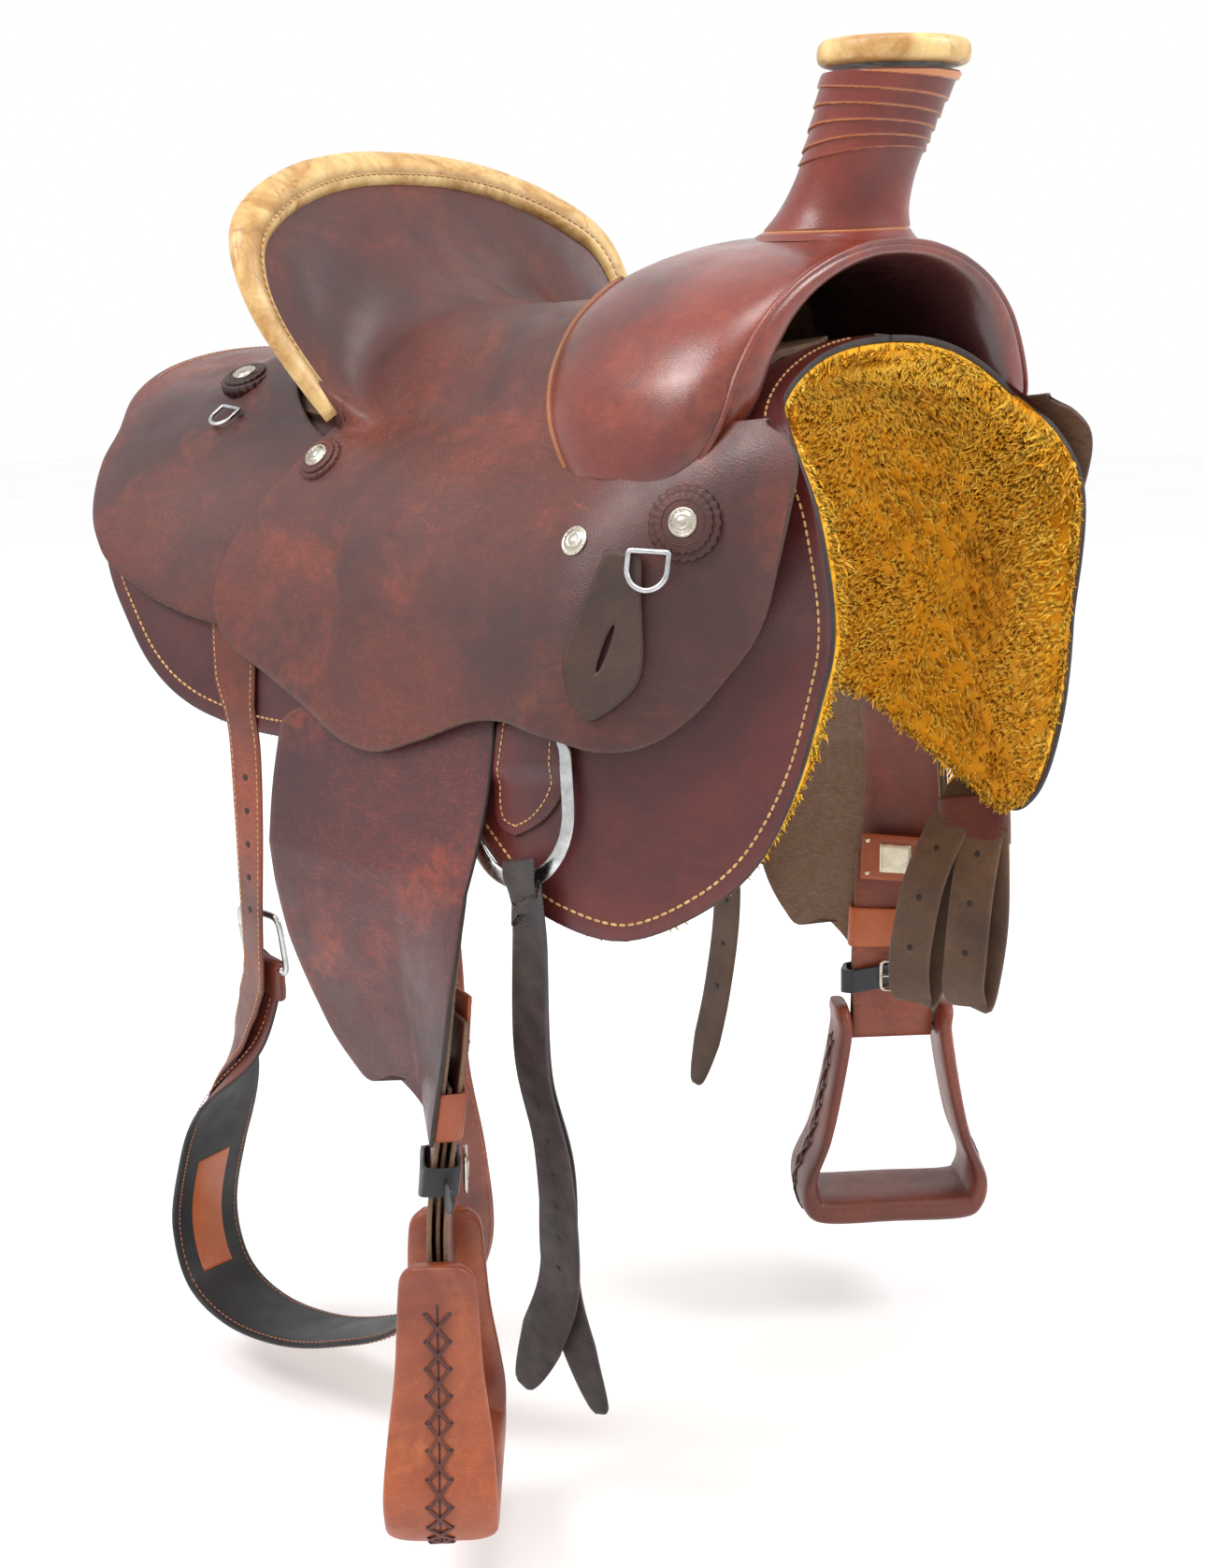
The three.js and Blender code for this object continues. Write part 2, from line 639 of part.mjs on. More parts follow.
// ---- rear jockeys -------------------------------------------------------------------------
const REAR_EDGE = [
  [-428, 4], [-434, 60], [-436, 104], [-426, 140], [-404, 176], [-396, 206], [-377, 242],
  [-356, 266], [-330, 283], [-276, 296], [-214, 297], [-176, 288],
];
const REAR_SPINE = [[-428, 4], [-350, 4], [-290, 4], [-276, 60], [-262, 110], [-222, 146], [-176, 160]];
function rearJockey(side, low, high) {
  const inner = through(REAR_SPINE, 10).reverse().map(([x, v]) => [x, Math.max(3, v)]);
  const outline = [...through(REAR_EDGE, 22), ...inner];
  return sheet(side, outline, (x, v) => low + barLift(x, v), (x, v) => high + barLift(x, v));
}
for (const side of ['R', 'L']) add(`rear_jockey_${side}`, rearJockey(side, ...REAR_JOCKEY), 'leather');

// ---- rosettes, small dees and latigo keepers ---------------------------------------------
function spot(side, x, v, d, span = 8) {
  // a local frame on the lay surface: along the horse, down its side, and out
  const point = lay(side, x, v, d);
  const along = lay(side, x + span, v, d).sub(lay(side, x - span, v, d)).normalize();
  const down = lay(side, x, v + span, d).sub(lay(side, x, v - span, d));
  down.addScaledVector(along, -down.dot(along)).normalize();
  const out = lay(side, x, v, d + 1).sub(point).normalize();
  out.addScaledVector(along, -out.dot(along)).addScaledVector(down, -out.dot(down)).normalize();
  return { point, along, down, out };
}

function plate(frame, shape, thickness, lift = 0) {
  // an extruded outline: shape x runs along, shape y runs down, thickness runs out
  const options = { depth: thickness, bevelEnabled: false, curveSegments: 7 };
  const extruded = new THREE.ExtrudeGeometry(shape, options);
  extruded.translate(0, 0, lift);
  const basis = new THREE.Matrix4().makeBasis(frame.along, frame.down, frame.out);
  extruded.applyMatrix4(basis.setPosition(frame.point));
  extruded.deleteAttribute('normal');
  extruded.deleteAttribute('uv');
  const merged = mergeVertices(extruded, 1e-3);
  return volume(merged) < 0 ? flipped(merged) : merged;
}

function disc(frame, radius, thickness, lift = 0, n = 18) {
  const rings = [0, 0.6, 1].map((t) => {
    const centre = frame.point.clone().addScaledVector(frame.out, lift + t * thickness);
    const r = radius - (t === 1 ? 1 : 0);
    return oval(centre, frame.along, frame.down, r, r, n);
  });
  return loft(rings);
}

function deeShape(half, height, bar) {
  // a dee lying with its straight bar up: outer outline with a hole
  const outline = (w, top, bottom) => {
    const path = new THREE.Shape();
    path.moveTo(-w, top);
    path.lineTo(w, top);
    path.lineTo(w, bottom - w);
    path.absarc(0, bottom - w, w, 0, Math.PI, false);
    path.lineTo(-w, top);
    return path;
  };
  const shape = outline(half, 0, height);
  shape.holes.push(outline(half - bar, bar, height - bar));
  return shape;
}

const ROSETTES = {
  front: { x: 200, v: 220, r: 24, top: () => SEAT },
  cantle: { x: -148, v: 175, r: 18, top: () => SEAT },
  rear: { x: -304, v: 116, r: 21, top: (x, v) => REAR_JOCKEY[1] + barLift(x, v) },
};
const seatUnder = {};
for (const side of ['R', 'L']) {
  const edge = SEAT_EDGE.map(([x, v], i) => (i < RIM.length ? [x + 2, v] : [x, v]));
  const high = (x, v) => seatTop(x, v) + GAP;
  const low = (x, v) => seatTop(x, v) - 12;
  seatUnder[side] = leaf(side, edge, SEAT_SPINE, SEAT_ROWS, 6, low, high, lay, seatPace);
}
const rearClear = (side) => rearJockey(side, REAR_JOCKEY[0] - 8, REAR_JOCKEY[1] + GAP);
const KEEPER = { x: 172, v: 300, tip: 50, top: -57, half: 25 };

function keeperShape() {
  const s = new THREE.Shape();
  s.moveTo(14, KEEPER.top);
  s.bezierCurveTo(14, -30, KEEPER.half, -12, KEEPER.half, 12);
  s.bezierCurveTo(KEEPER.half, 30, 8, 44, -6, KEEPER.tip);
  s.bezierCurveTo(-18, 40, -KEEPER.half, 30, -KEEPER.half, 10);
  s.bezierCurveTo(-KEEPER.half, -12, -14, -30, -10, KEEPER.top);
  s.closePath();
  const slot = new THREE.Path();
  slot.absarc(-4, 18, 2.6, 0, Math.PI, false);
  slot.absarc(4, -10, 2.6, Math.PI, 2 * Math.PI, false);
  slot.closePath();
  s.holes.push(slot);
  return s;
}

const KEEPER_LEAN = rad(9);

function leaned(frame, pivot) {
  // the frame swung in its own plane about the pivot, its lower end towards the rear
  const [c, s] = [Math.cos(KEEPER_LEAN), Math.sin(KEEPER_LEAN)];
  const along = frame.along.clone().multiplyScalar(c).addScaledVector(frame.down, s);
  const down = frame.down.clone().multiplyScalar(c).addScaledVector(frame.along, -s);
  const arm = frame.point.clone().sub(pivot);
  const point = pivot.clone().addScaledVector(along, arm.dot(frame.along));
  point.addScaledVector(down, arm.dot(frame.down)).addScaledVector(frame.out, arm.dot(frame.out));
  return { ...frame, point, along, down };
}

for (const side of ['R', 'L']) {
  for (const [name, { x, v, r, top }] of Object.entries(ROSETTES)) {
    const under = name === 'rear' ? rearClear(side) : seatUnder[side];
    const frame = spot(side, x, v, top(x, v));
    const blank = disc(frame, r, 7, -2);
    const room = frame.out.clone().sub(frame.along).sub(frame.down).multiplyScalar(GAP);
    const raised = under.clone().translate(room.x, room.y, room.z);
    add(`rosette_${name}_${side}`, cut(blank, under, raised, bindingClear), 'darkLeather');
  }
  add(`concho_plain_${side}`, cut(disc(spot(side, 140, 232, SEAT), 10, 5, -2, 14), seatUnder[side]), 'steel');
  const pivot = spot(side, ROSETTES.front.x, ROSETTES.front.v, SEAT).point;
  const keeper = leaned(spot(side, KEEPER.x, KEEPER.v, SEAT, 40), pivot);
  add(`latigo_keeper_${side}`, plate(keeper, keeperShape(), 3, 4.5), 'darkLeather');
  const frontDee = spot(side, 183, 238, SEAT, 20);
  add(`dee_front_${side}`, plate(frontDee, deeShape(15, 28, 3.6), 3.4, 10.5), 'steel');
  const rear = spot(side, -291, 143, REAR_JOCKEY[1] + barLift(-291, 143), 12);
  add(`dee_rear_${side}`, plate(rear, deeShape(12, 24, 3.2), 3, 3), 'steel');
}

// ---- rigging: plates, dees and straps -----------------------------------------------------
const DEE = { x: 117, v: 396, half: 52, height: 100, bar: 12, thick: 3.2, tilt: rad(1.3) };

const RIGGING_EDGE = [[90, 214], [88, 300], [94, 340], [92, 380], [99, 402], [115, 410], [134, 402],
  [145, 380], [145, 340], [152, 300], [158, 214]];

function rigging(side) {
  const frame = spot(side, DEE.x, DEE.v, STRAP[0], 6);
  const placed = { ...frame, point: frame.point.clone().addScaledVector(frame.down, -DEE.height / 2) };
  const tilt = placed.down.clone().cross(placed.out).normalize();
  for (const axis of ['down', 'out']) placed[axis] = placed[axis].clone().applyAxisAngle(tilt, DEE.tilt);
  const dee = plate(placed, deeShape(DEE.half, DEE.height, DEE.bar), DEE.thick, 1);
  const box = new THREE.Shape();
  box.moveTo(-70, -1.2);
  box.lineTo(70, -1.2);
  box.lineTo(70, DEE.bar + 1.2);
  box.lineTo(-70, DEE.bar + 1.2);
  box.closePath();
  const tunnel = plate(placed, box, DEE.thick + 1.6, 0.2);
  const barV = DEE.v - DEE.height / 2 + DEE.bar / 2;
  const thick = (x, v) => STRAP[1] - 0.5 + 3 * ease(1.9 - Math.abs(v - barV) / 14);
  const body = sheet(side, through(RIGGING_EDGE, 22), STRAP[0], thick);
  add(`rigging_plate_${side}`, cut(body, tunnel), 'leather');
  add(`rigging_dee_${side}`, dee, 'steel');
  return placed;
}
const deeFrames = { R: rigging('R'), L: rigging('L') };

const mirror = (side, points) => points.map(([x, y, z]) => [x, signOf[side] * y, z]);
const steady = (x, y, z) => () => new THREE.Vector3(x, y, z);

function strap(side, points, n, across, width, thickness) {
  const path = smooth3(mirror(side, points), n);
  return ribbon(path, across, width, thickness);
}

function barAt(side, grow) {
  // the bottom bar of a rigging dee as a plain block, for cutting the strap loops
  const f = deeFrames[side];
  const block = new THREE.Shape();
  const bottom = DEE.height;
  block.moveTo(-60, bottom - 34);
  block.lineTo(60, bottom - 34);
  block.lineTo(60, bottom + grow);
  block.lineTo(-60, bottom + grow);
  block.closePath();
  return plate(f, block, DEE.thick + 2 * grow, 1 - grow);
}

function hangFrom(side, shiftX) {
  // start of a strap that loops over a dee's bottom bar: [x, |y|, z] points down past the bar
  const f = deeFrames[side];
  return [-9, 8, 30].map((drop) => {
    const p = f.point.clone().addScaledVector(f.down, DEE.height - DEE.bar + drop)
      .addScaledVector(f.along, shiftX).addScaledVector(f.out, 1 + DEE.thick / 2 - (drop > 20 ? 1 : 0));
    return [p.x, Math.abs(p.y), p.z];
  });
}

function offBillet() {
  const top = hangFrom('R', 4);
  const outer = [...top, [103, 231, -390], [99, 208, -470], [76, 180, -575], [44, 168, -640],
    [16, 160, -690]];
  const inner = [...top, [99, 225, -390], [95, 201, -470], [70, 173, -575], [76, 161, -640],
    [90, 153, -690]];
  const turn = (i) => new THREE.Vector3(1, -0.3 + 0.02 * i, 0);
  const a = strap('R', outer, 16, turn, 40, 3.6);
  const b = strap('R', inner, 16, turn, 40, 3.4);
  const collar = strap('R', top, 3, steady(1, 0, 0), 40, 6.6);
  return cut(join(a, b, collar), barAt('R', GAP), skirtClear('R'));
}
add('off_billet_R', offBillet(), 'darkLeather');

function latigo() {
  const top = hangFrom('L', 12);
  const [, , low] = top;
  const nearLoop = [[low[0] - 8, low[1] - 1, low[2] + 8], [120, 220, -340], [113, 206, -400],
    [112, 204, -440], [113, 212, -458], [117, 220, -440], [128, 230, -380], [136, 243, -308]];
  const farLoop = [[low[0] + 6, low[1] - 1, low[2] + 8], [160, 222, -350], [162, 210, -410],
    [162, 208, -436], [164, 216, -452], [166, 224, -434], [168, 232, -380], [160, 241, -308]];
  const x = steady(1, 0.1, 0);
  const collar = strap('L', top, 3, x, 40, 6.6);
  const wrap = strap('L', [[139, 251, -290], [144, 246, -306], [148, 241, -322]], 3, x, 60, 16);
  const loops = [strap('L', nearLoop, 18, x, 38, 3.2), strap('L', farLoop, 18, x, 38, 3.2)];
  return cut(join(collar, wrap, ...loops), barAt('L', GAP), skirtClear('L', 9, 2.6));
}
add('latigo_L', latigo(), 'darkLeather');

// ---- rear billets and the flank cinch ------------------------------------------------------
function billetTop(rows) {
  // the part of a rear billet that lies on the skirt
  return rows.map(([x, v]) => {
    const p = lay('L', x, v, (STRAP[0] + STRAP[1]) / 2);
    return [p.x, p.y, p.z];
  });
}

const CINCH = [
  [-186, 224, -376], [-216, 219, -436], [-262, 209, -500], [-315, 193, -580], [-356, 175, -656],
  [-346, 171, -708], [-298, 171, -728], [-230, 171, -724], [-160, 171, -702], [-84, 168, -664],
  [-34, 169, -596], [-18, 180, -510], [-18, 192, -430], [-18, 197, -350], [-16, 203, -280],
  [-14, 208, -215],
];
const CINCH_STEPS = 36;
const cinchPath = smooth3(mirror('R', CINCH), CINCH_STEPS);
const cinchTurn = (i) => ease(Math.min(i / 7, (CINCH_STEPS - i) / 9));
const cinchAcross = (i) => {
  const ahead = i < CINCH_STEPS / 2 ? 1 : -1;
  return new THREE.Vector3(ahead * (1 - cinchTurn(i)), -cinchTurn(i), 0).normalize();
};
const cinchWidth = (i) => {
  // full width along the belly, 36 mm at the buckle and 26 mm on the strap that is tucked up
  const atBuckle = i < CINCH_STEPS / 2;
  const grown = ease(atBuckle ? i / 5 : (CINCH_STEPS - i) / 11 - 0.5);
  return lerp(atBuckle ? 36 : 26, 68, grown);
};

function cinchNormal(i) {
  const ahead = cinchPath[Math.min(i + 1, CINCH_STEPS)];
  const behind = cinchPath[Math.max(i - 1, 0)];
  return ahead.clone().sub(behind).cross(cinchAcross(i)).normalize();
}

const BUCKLE = { x: -184, y: 231.5, z: -360, w: 27, h: 27, bar: 6, thick: 4 };
function buckleRing(grow) {
  const frame = {
    point: new THREE.Vector3(BUCKLE.x, -BUCKLE.y, BUCKLE.z),
    along: new THREE.Vector3(1, 0, 0),
    down: new THREE.Vector3(0, 0.15, -1).normalize(),
    out: new THREE.Vector3(0, -1, -0.15).normalize(),
  };
  const rect = (w, h) =>
    new THREE.Shape([[-w, -h], [w, -h], [w, h], [-w, h]].map((p) => new THREE.Vector2(...p)));
  const shape = rect(BUCKLE.w + grow, BUCKLE.h + grow);
  shape.holes.push(rect(BUCKLE.w - BUCKLE.bar - grow, BUCKLE.h - BUCKLE.bar - grow));
  return plate(frame, shape, BUCKLE.thick + 2 * grow, -BUCKLE.thick / 2 - grow);
}

function flankCinch() {
  const band = ribbon(cinchPath, cinchAcross, cinchWidth, 5);
  const foldPath = [[-184, 229, -374], [-187, 226, -390], [-193, 222, -400]];
  const fold = strap('R', foldPath, 3, steady(1, 0, 0), 36, 9);
  return cut(join(band, fold), buckleRing(GAP));
}
add('cinch_buckle', buckleRing(0), 'steel');
add('flank_cinch', flankCinch(), 'blackLeather');

const layAcross = (side, x, v) => spot(side, x, v, STRAP[0]).along;
const BILLET_R = [...billetTop([[-208, 262], [-203, 292], [-194, 322], [-183, 352]]), [-178, 243.6, -204],
  [-178, 243.6, -262], [-181, 243, -330], [-187, 239, -378], [-196, 234, -398]];

function rearBilletR() {
  // down the skirt, over the buckle, then along the outer face of the cinch to its tip
  const [head, first, last] = [14, 2, 14];
  const upper = smooth3(mirror('R', BILLET_R), head);
  const lower = cinchPath.slice(first, last + 1).map((p, i) => {
    const n = cinchNormal(i + first);
    return p.clone().addScaledVector(n, lerp(9, 6.5, ease(i / 4)));
  });
  const start = layAcross('R', -195, 310);
  const across = (i) => (i > head ? cinchAcross(i - head - 1 + first)
    : start.clone().lerp(cinchAcross(first - 1), ease((i - 5) / 9)));
  return ribbon([...upper, ...lower], across, (i) => (i < 5 ? 42 : 32), 3);
}
add('rear_billet_R', cut(rearBilletR(), skirtClear('R')), 'tanLeather');

const BILLET_L = [...billetTop([[-176, 262], [-170, 300], [-160, 352]]), [-150, 244, -215], [-122, 238, -300],
  [-102, 228, -405], [-106, 218, -500], [-124, 210, -590]];
const billetLAcross = (i) => layAcross('L', -168, 310).lerp(new THREE.Vector3(1, 0, 0.05), ease((i - 5) / 4));
const billetL = strap('L', BILLET_L, 16, billetLAcross, (i) => (i < 5 ? 40 : 30), 3);
add('rear_billet_L', cut(billetL, skirtClear('L')), 'tanLeather');

// ---- legs: fenders, stirrup leathers, hobbles ---------------------------------------------
const hangRows = [[-560, 249], [-440, 251], [-380, 258.5], [-330, 267], [-290, 270.6], [-262, 270.8],
  [-193, 255]];
const hangCurve = (z) => table(hangRows, z);
const legTurn = (z) => LEG_TURN * ease((-z - 190) / 330);

function leg(side, w, z, d) {
  // a point on the hanging leather: w across from its rear edge, d outward
  const turn = legTurn(z) * ease((w + 14) / 14);
  const hinge = new THREE.Vector3(LEG_REAR_X + Math.min(w, 0), hangCurve(z), z);
  const along = Math.max(w, 0);
  hinge.x += along * Math.cos(legTurn(z)) - d * Math.sin(turn);
  hinge.y += along * Math.sin(legTurn(z)) + d * Math.cos(turn);
  hinge.y *= signOf[side];
  return hinge;
}

const FENDER_REAR = [[-139, LIFT_Z - 0.6], [-137, -241], [-122, -330], [-96, -392], [-68, -424], [-54, -431],
  [-40, -425], [-26, -420], [-10, -428], [0, -436]];
const FENDER_FRONT = [[76, LIFT_Z - 0.6], [76, -300], [76, -436]];
const TOP_ARCH = [[-139, LIFT_Z + 0.2], [-137, -176], [-120, -165], [-80, -150], [-44, -122],
  [-14, -102], [12, -96], [38, -102], [58, -122], [72, -150], [76, LIFT_Z + 0.2]];

function hingePlane(side, w, z, d) {
  // flat continuation of the fender above its bend
  const slope = (hangCurve(LIFT_Z - 20) - hangCurve(LIFT_Z)) / 20;
  const p = new THREE.Vector3(LEG_REAR_X + w, hangCurve(LIFT_Z) - slope * (z - LIFT_Z) + d, z);
  p.y *= signOf[side];
  return p;
}

function leatherLoop(side) {
  // the outer strap, its return behind and the eye round the bolt
  const top = -214;
  const edge = (w, z) => [[w, z], [w, BOLT_Z[side]]];
  const outer = leaf(side, edge(2, top), edge(72, top), 12, 2, -5.7, -2.7, leg);
  const inner = leaf(side, edge(2, -352), edge(72, -352), 7, 2, -17.2, -14.2, leg);
  const ringAt = (w, r) => {
    const c = leg(side, w, BOLT_Z[side], -9.6);
    const n = leg(side, w, BOLT_Z[side], 0).sub(c).normalize();
    return oval(c, n, new THREE.Vector3(0, 0, 1), r, r, 12);
  };
  const eye = loft([ringAt(2, 7.6), ringAt(72, 7.6)]);
  const hole = loft([ringAt(0, BOLT_R + GAP), ringAt(74, BOLT_R + GAP)]);
  return cut(join(outer, inner, eye), hole);
}

function hobble(side) {
  const z = HOBBLE_Z[side];
  const ring = (height, grow) => {
    const corners = [[-2, -20], [76, -20], [76, 1.4], [-2, 1.4]];
    return corners.map(([w, d]) =>
      leg(side, w + Math.sign(w - 30) * grow, height, d + Math.sign(d + 9) * grow));
  };
  const heights = [-20, -7, 7, 20].map((h) => z + h);
  return loft(heights.map((h) => ring(h, 3)), heights.map((h) => ring(h, 0)));
}

for (const side of ['R', 'L']) {
  const topEdge = [-139, -30, 76].map((w) => [w, LIFT_Z + 0.2]);
  const top = leaf(side, TOP_ARCH, topEdge, 16, 2, -1.4, 1.4, hingePlane);
  add(`fender_top_${side}`, top, 'leather');
  add(`fender_${side}`, leaf(side, FENDER_REAR, FENDER_FRONT, 16, 5, -1.5, 1.5, leg), 'leather');
  add(`stirrup_leather_${side}`, leatherLoop(side), 'tanLeather');
  add(`hobble_${side}`, hobble(side), 'blackLeather');
  const blevins = leaf(side, [[8, -336], [8, -374]], [[66, -336], [66, -374]], 3, 2, -20.6, -17.6, leg);
  add(`blevins_${side}`, blevins, 'steel');
}

// ---- stirrups -------------------------------------------------------------------------------
const STIRRUP = {
  ear: 44, foot: 76, drop: 158, side: 14, tread: 26, topDepth: 55, lowDepth: 78, rise: 25,
};

function stirrupFrame(side) {
  const centre = leg(side, 37, BOLT_Z[side], -9.6);
  const across = leg(side, 72, BOLT_Z[side], 0).sub(leg(side, 2, BOLT_Z[side], 0)).normalize();
  return { centre, across, depth: new THREE.Vector3(0, 0, 1).cross(across) };
}

function stirrup(side) {
  const { centre, across, depth } = stirrupFrame(side);
  const S = STIRRUP;
  // [across, up, turn of the section, thickness, depth] down one branch to the middle of the tread
  const branch = [
    [S.ear + 2, S.rise, 90, S.side - 2, 34], [S.ear + 1, S.rise - 8, 90, S.side, 50],
    [S.ear, 0, 90, S.side, S.topDepth],
    [S.ear + 8, -50, 84, S.side, S.topDepth + 6], [S.foot - 14, -94, 74, S.side, S.lowDepth - 6],
    [S.foot - 1, -128, 72, S.side + 2, S.lowDepth], [S.foot - 4, -150, 45, S.side + 8, S.lowDepth],
    [S.foot - 18, -S.drop, 0, S.tread, S.lowDepth],
  ];
  const mirrored = branch.slice(0, -1).reverse().map(([a, u, t, k, w]) => [-a, u, -t, k, w]);
  const flat = branch[branch.length - 1];
  const stations = [...branch, [-flat[0], ...flat.slice(1)], ...mirrored];
  const rings = stations.map(([a, up, turn, thick, wide]) => {
    const c = centre.clone().addScaledVector(across, a).add(new THREE.Vector3(0, 0, up));
    const inward = across.clone().multiplyScalar(-Math.sin(rad(turn))).add(
      new THREE.Vector3(0, 0, Math.cos(rad(turn))));
    const corners = [[-1, -0.5], [-0.86, -1], [0.86, -1], [1, -0.5],
      [1, 0.5], [0.86, 1], [-0.86, 1], [-1, 0.5]];
    return corners.map(([w, t]) => c.clone().addScaledVector(depth, (w * wide) / 2)
      .addScaledVector(inward, (t * thick) / 2));
  });
  return cut(loft(rings), boltRod(side, BOLT_R + GAP, 130));
}

function boltRod(side, r, length) {
  const { centre, across, depth } = stirrupFrame(side);
  const up = new THREE.Vector3(0, 0, 1);
  const end = (s) => centre.clone().addScaledVector(across, (s * length) / 2);
  return loft([-1, 1].map((s) => oval(end(s), depth, up, r, r, 12)));
}

for (const side of ['R', 'L']) {
  add(`stirrup_${side}`, stirrup(side), 'wood');
  add(`stirrup_bolt_${side}`, boltRod(side, BOLT_R, 96), 'steel');
}

export default group;
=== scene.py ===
"""The looks of the western saddle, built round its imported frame.

Places are in millimetres in the frame's axes (+X forward, +Y the horse's left, +Z up) until a mesh is
made. Leather lies on one curved surface: x runs along the horse, v is the distance down from the spine
and d is the height over the horse's back. side is -1 on the right and 1 on the left.
"""

import json

import bmesh
import bpy
import numpy as np
from mathutils import Matrix, Vector

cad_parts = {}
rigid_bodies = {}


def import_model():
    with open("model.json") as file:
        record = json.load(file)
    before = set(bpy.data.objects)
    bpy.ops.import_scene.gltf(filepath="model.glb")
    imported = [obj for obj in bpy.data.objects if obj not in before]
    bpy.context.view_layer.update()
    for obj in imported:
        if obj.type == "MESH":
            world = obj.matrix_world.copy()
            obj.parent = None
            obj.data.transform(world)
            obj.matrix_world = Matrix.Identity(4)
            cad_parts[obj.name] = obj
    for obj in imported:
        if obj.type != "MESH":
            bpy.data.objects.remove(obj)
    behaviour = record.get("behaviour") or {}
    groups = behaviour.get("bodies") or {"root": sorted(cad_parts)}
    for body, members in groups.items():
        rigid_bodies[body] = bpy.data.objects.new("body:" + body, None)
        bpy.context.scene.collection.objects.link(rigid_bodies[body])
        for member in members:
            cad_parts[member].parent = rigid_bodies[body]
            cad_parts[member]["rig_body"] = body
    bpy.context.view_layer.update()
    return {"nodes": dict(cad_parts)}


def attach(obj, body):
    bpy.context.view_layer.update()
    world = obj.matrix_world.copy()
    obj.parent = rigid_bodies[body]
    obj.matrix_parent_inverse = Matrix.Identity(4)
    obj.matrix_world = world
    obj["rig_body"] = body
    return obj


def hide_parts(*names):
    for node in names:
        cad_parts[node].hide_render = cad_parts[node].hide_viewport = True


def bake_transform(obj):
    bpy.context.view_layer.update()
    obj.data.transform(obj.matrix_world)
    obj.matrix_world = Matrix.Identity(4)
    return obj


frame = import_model()

MM = 0.001
SIDES = {"R": -1, "L": 1}
rng = np.random.default_rng(7)

# ---- driving dimensions ---------------------------------------------------------------------
SPINE, WITHERS_RISE, LOIN_RISE = 42, 32, 8
SIDE_FALL, SIDE_ANGLE, NOSE_TUCK = 195, 86, 85
SKIRT = (12.5, 17)
REAR_JOCKEY = (22, 26)
SEAT, LEATHER = 37, 4
LIFT_Z = -193
LEG_TURN, LEG_REAR_X = np.radians(47), 16
BOLT_Z = {-1: -545, 1: -512}
HOBBLE_Z = {-1: -470, 1: -458}
HORN_BASE, HORN_TOP = np.array([176, 0, 150.0]), np.array([224, 0, 262.0])

# ---- camera ---------------------------------------------------------------------------------
CAMERA_AT = (1083.1, -1216.5, 130.9)
CAMERA_YAW, CAMERA_PITCH, CAMERA_ROLL = np.radians([132.75, 13.2, -0.73])
LENS = 49.61


def set_camera():
    yaw, pitch, roll = CAMERA_YAW, CAMERA_PITCH, CAMERA_ROLL
    ahead = Vector((np.cos(yaw) * np.cos(pitch), np.sin(yaw) * np.cos(pitch), -np.sin(pitch)))
    right = Vector((np.sin(yaw), -np.cos(yaw), 0))
    up = right.cross(ahead)
    turned_right = right * np.cos(roll) + up * np.sin(roll)
    turned_up = up * np.cos(roll) - right * np.sin(roll)
    data = bpy.data.cameras.new("camera")
    data.lens, data.sensor_width, data.clip_end = LENS, 36, 50
    camera = bpy.data.objects.new("camera", data)
    turn = Matrix((turned_right, turned_up, -ahead)).transposed().to_4x4()
    camera.matrix_world = Matrix.Translation(Vector(CAMERA_AT) * MM) @ turn
    bpy.context.scene.collection.objects.link(camera)
    bpy.context.scene.camera = camera


set_camera()


# ---- curves and tables ----------------------------------------------------------------------
def ease(t):
    t = np.clip(t, 0, 1)
    return t * t * (3 - 2 * t)


def unit(a):
    return a / np.maximum(np.linalg.norm(a, axis=-1, keepdims=True), 1e-9)


def circle(n, shift=0.0):
    """n angles round a full turn; shift is a fraction of a step."""
    return (np.arange(n) + shift) / n * 2 * np.pi


def round_ring(t):
    """Points of a level circle of radius 1 at the angles t."""
    return np.stack([np.cos(t), np.sin(t), 0 * t], -1)


def boxy(q, power):
    """A cosine or sine flattened towards a square; a higher power is squarer."""
    return np.sign(q) * np.abs(q) ** (2 / power)


def run_along(path):
    """The distance along a path at each of its points."""
    return np.concatenate([[0], np.cumsum(np.linalg.norm(np.diff(path, axis=0), axis=1))])


def picked(at, run, rows):
    """The rows read at the distances given."""
    return np.stack([np.interp(at, run, rows[:, k]) for k in range(rows.shape[1])], 1)


def spline(points, n):
    """n + 1 evenly spaced points on a smooth curve through the points."""
    p = np.asarray(points, float)
    last = len(p) - 1
    t = np.linspace(0, last, 40 * last + 1)
    i = np.minimum(t.astype(int), last - 1)
    w = (t - i)[:, None]
    before, here, after, beyond = p[np.maximum(i - 1, 0)], p[i], p[i + 1], p[np.minimum(i + 2, last)]
    go, come = (after - before) / 2, (beyond - here) / 2
    c = (2 * here - 2 * after + go + come) * w**3 + (3 * after - 3 * here - 2 * go - come) * w**2
    c += go * w + here
    run = run_along(c)
    return picked(np.linspace(0, run[-1], n + 1), run, c)


def look_up(rows, x, column=1):
    c = spline(rows, 400)
    order = np.argsort(c[:, 0], kind="stable")
    return np.interp(x, c[order, 0], c[order, column])


# ---- the lay surface ------------------------------------------------------------------------
STEP = 2.0
REARWARD = np.linspace(0, 1, 81)
DOWN = np.arange(451) * STEP
FALL = (SIDE_FALL + 25 * REARWARD)[:, None]
TURN = np.radians(SIDE_ANGLE - 3 * REARWARD)[:, None] * (1 - np.exp(-(((DOWN + 1) / FALL) ** 1.6)))
NONE = np.zeros((81, 1))
OUT = np.concatenate([NONE, np.cumsum(STEP * np.cos(TURN[:, :-1]), 1)], 1)
DROP = np.concatenate([NONE, np.cumsum(STEP * np.sin(TURN[:, :-1]), 1)], 1)


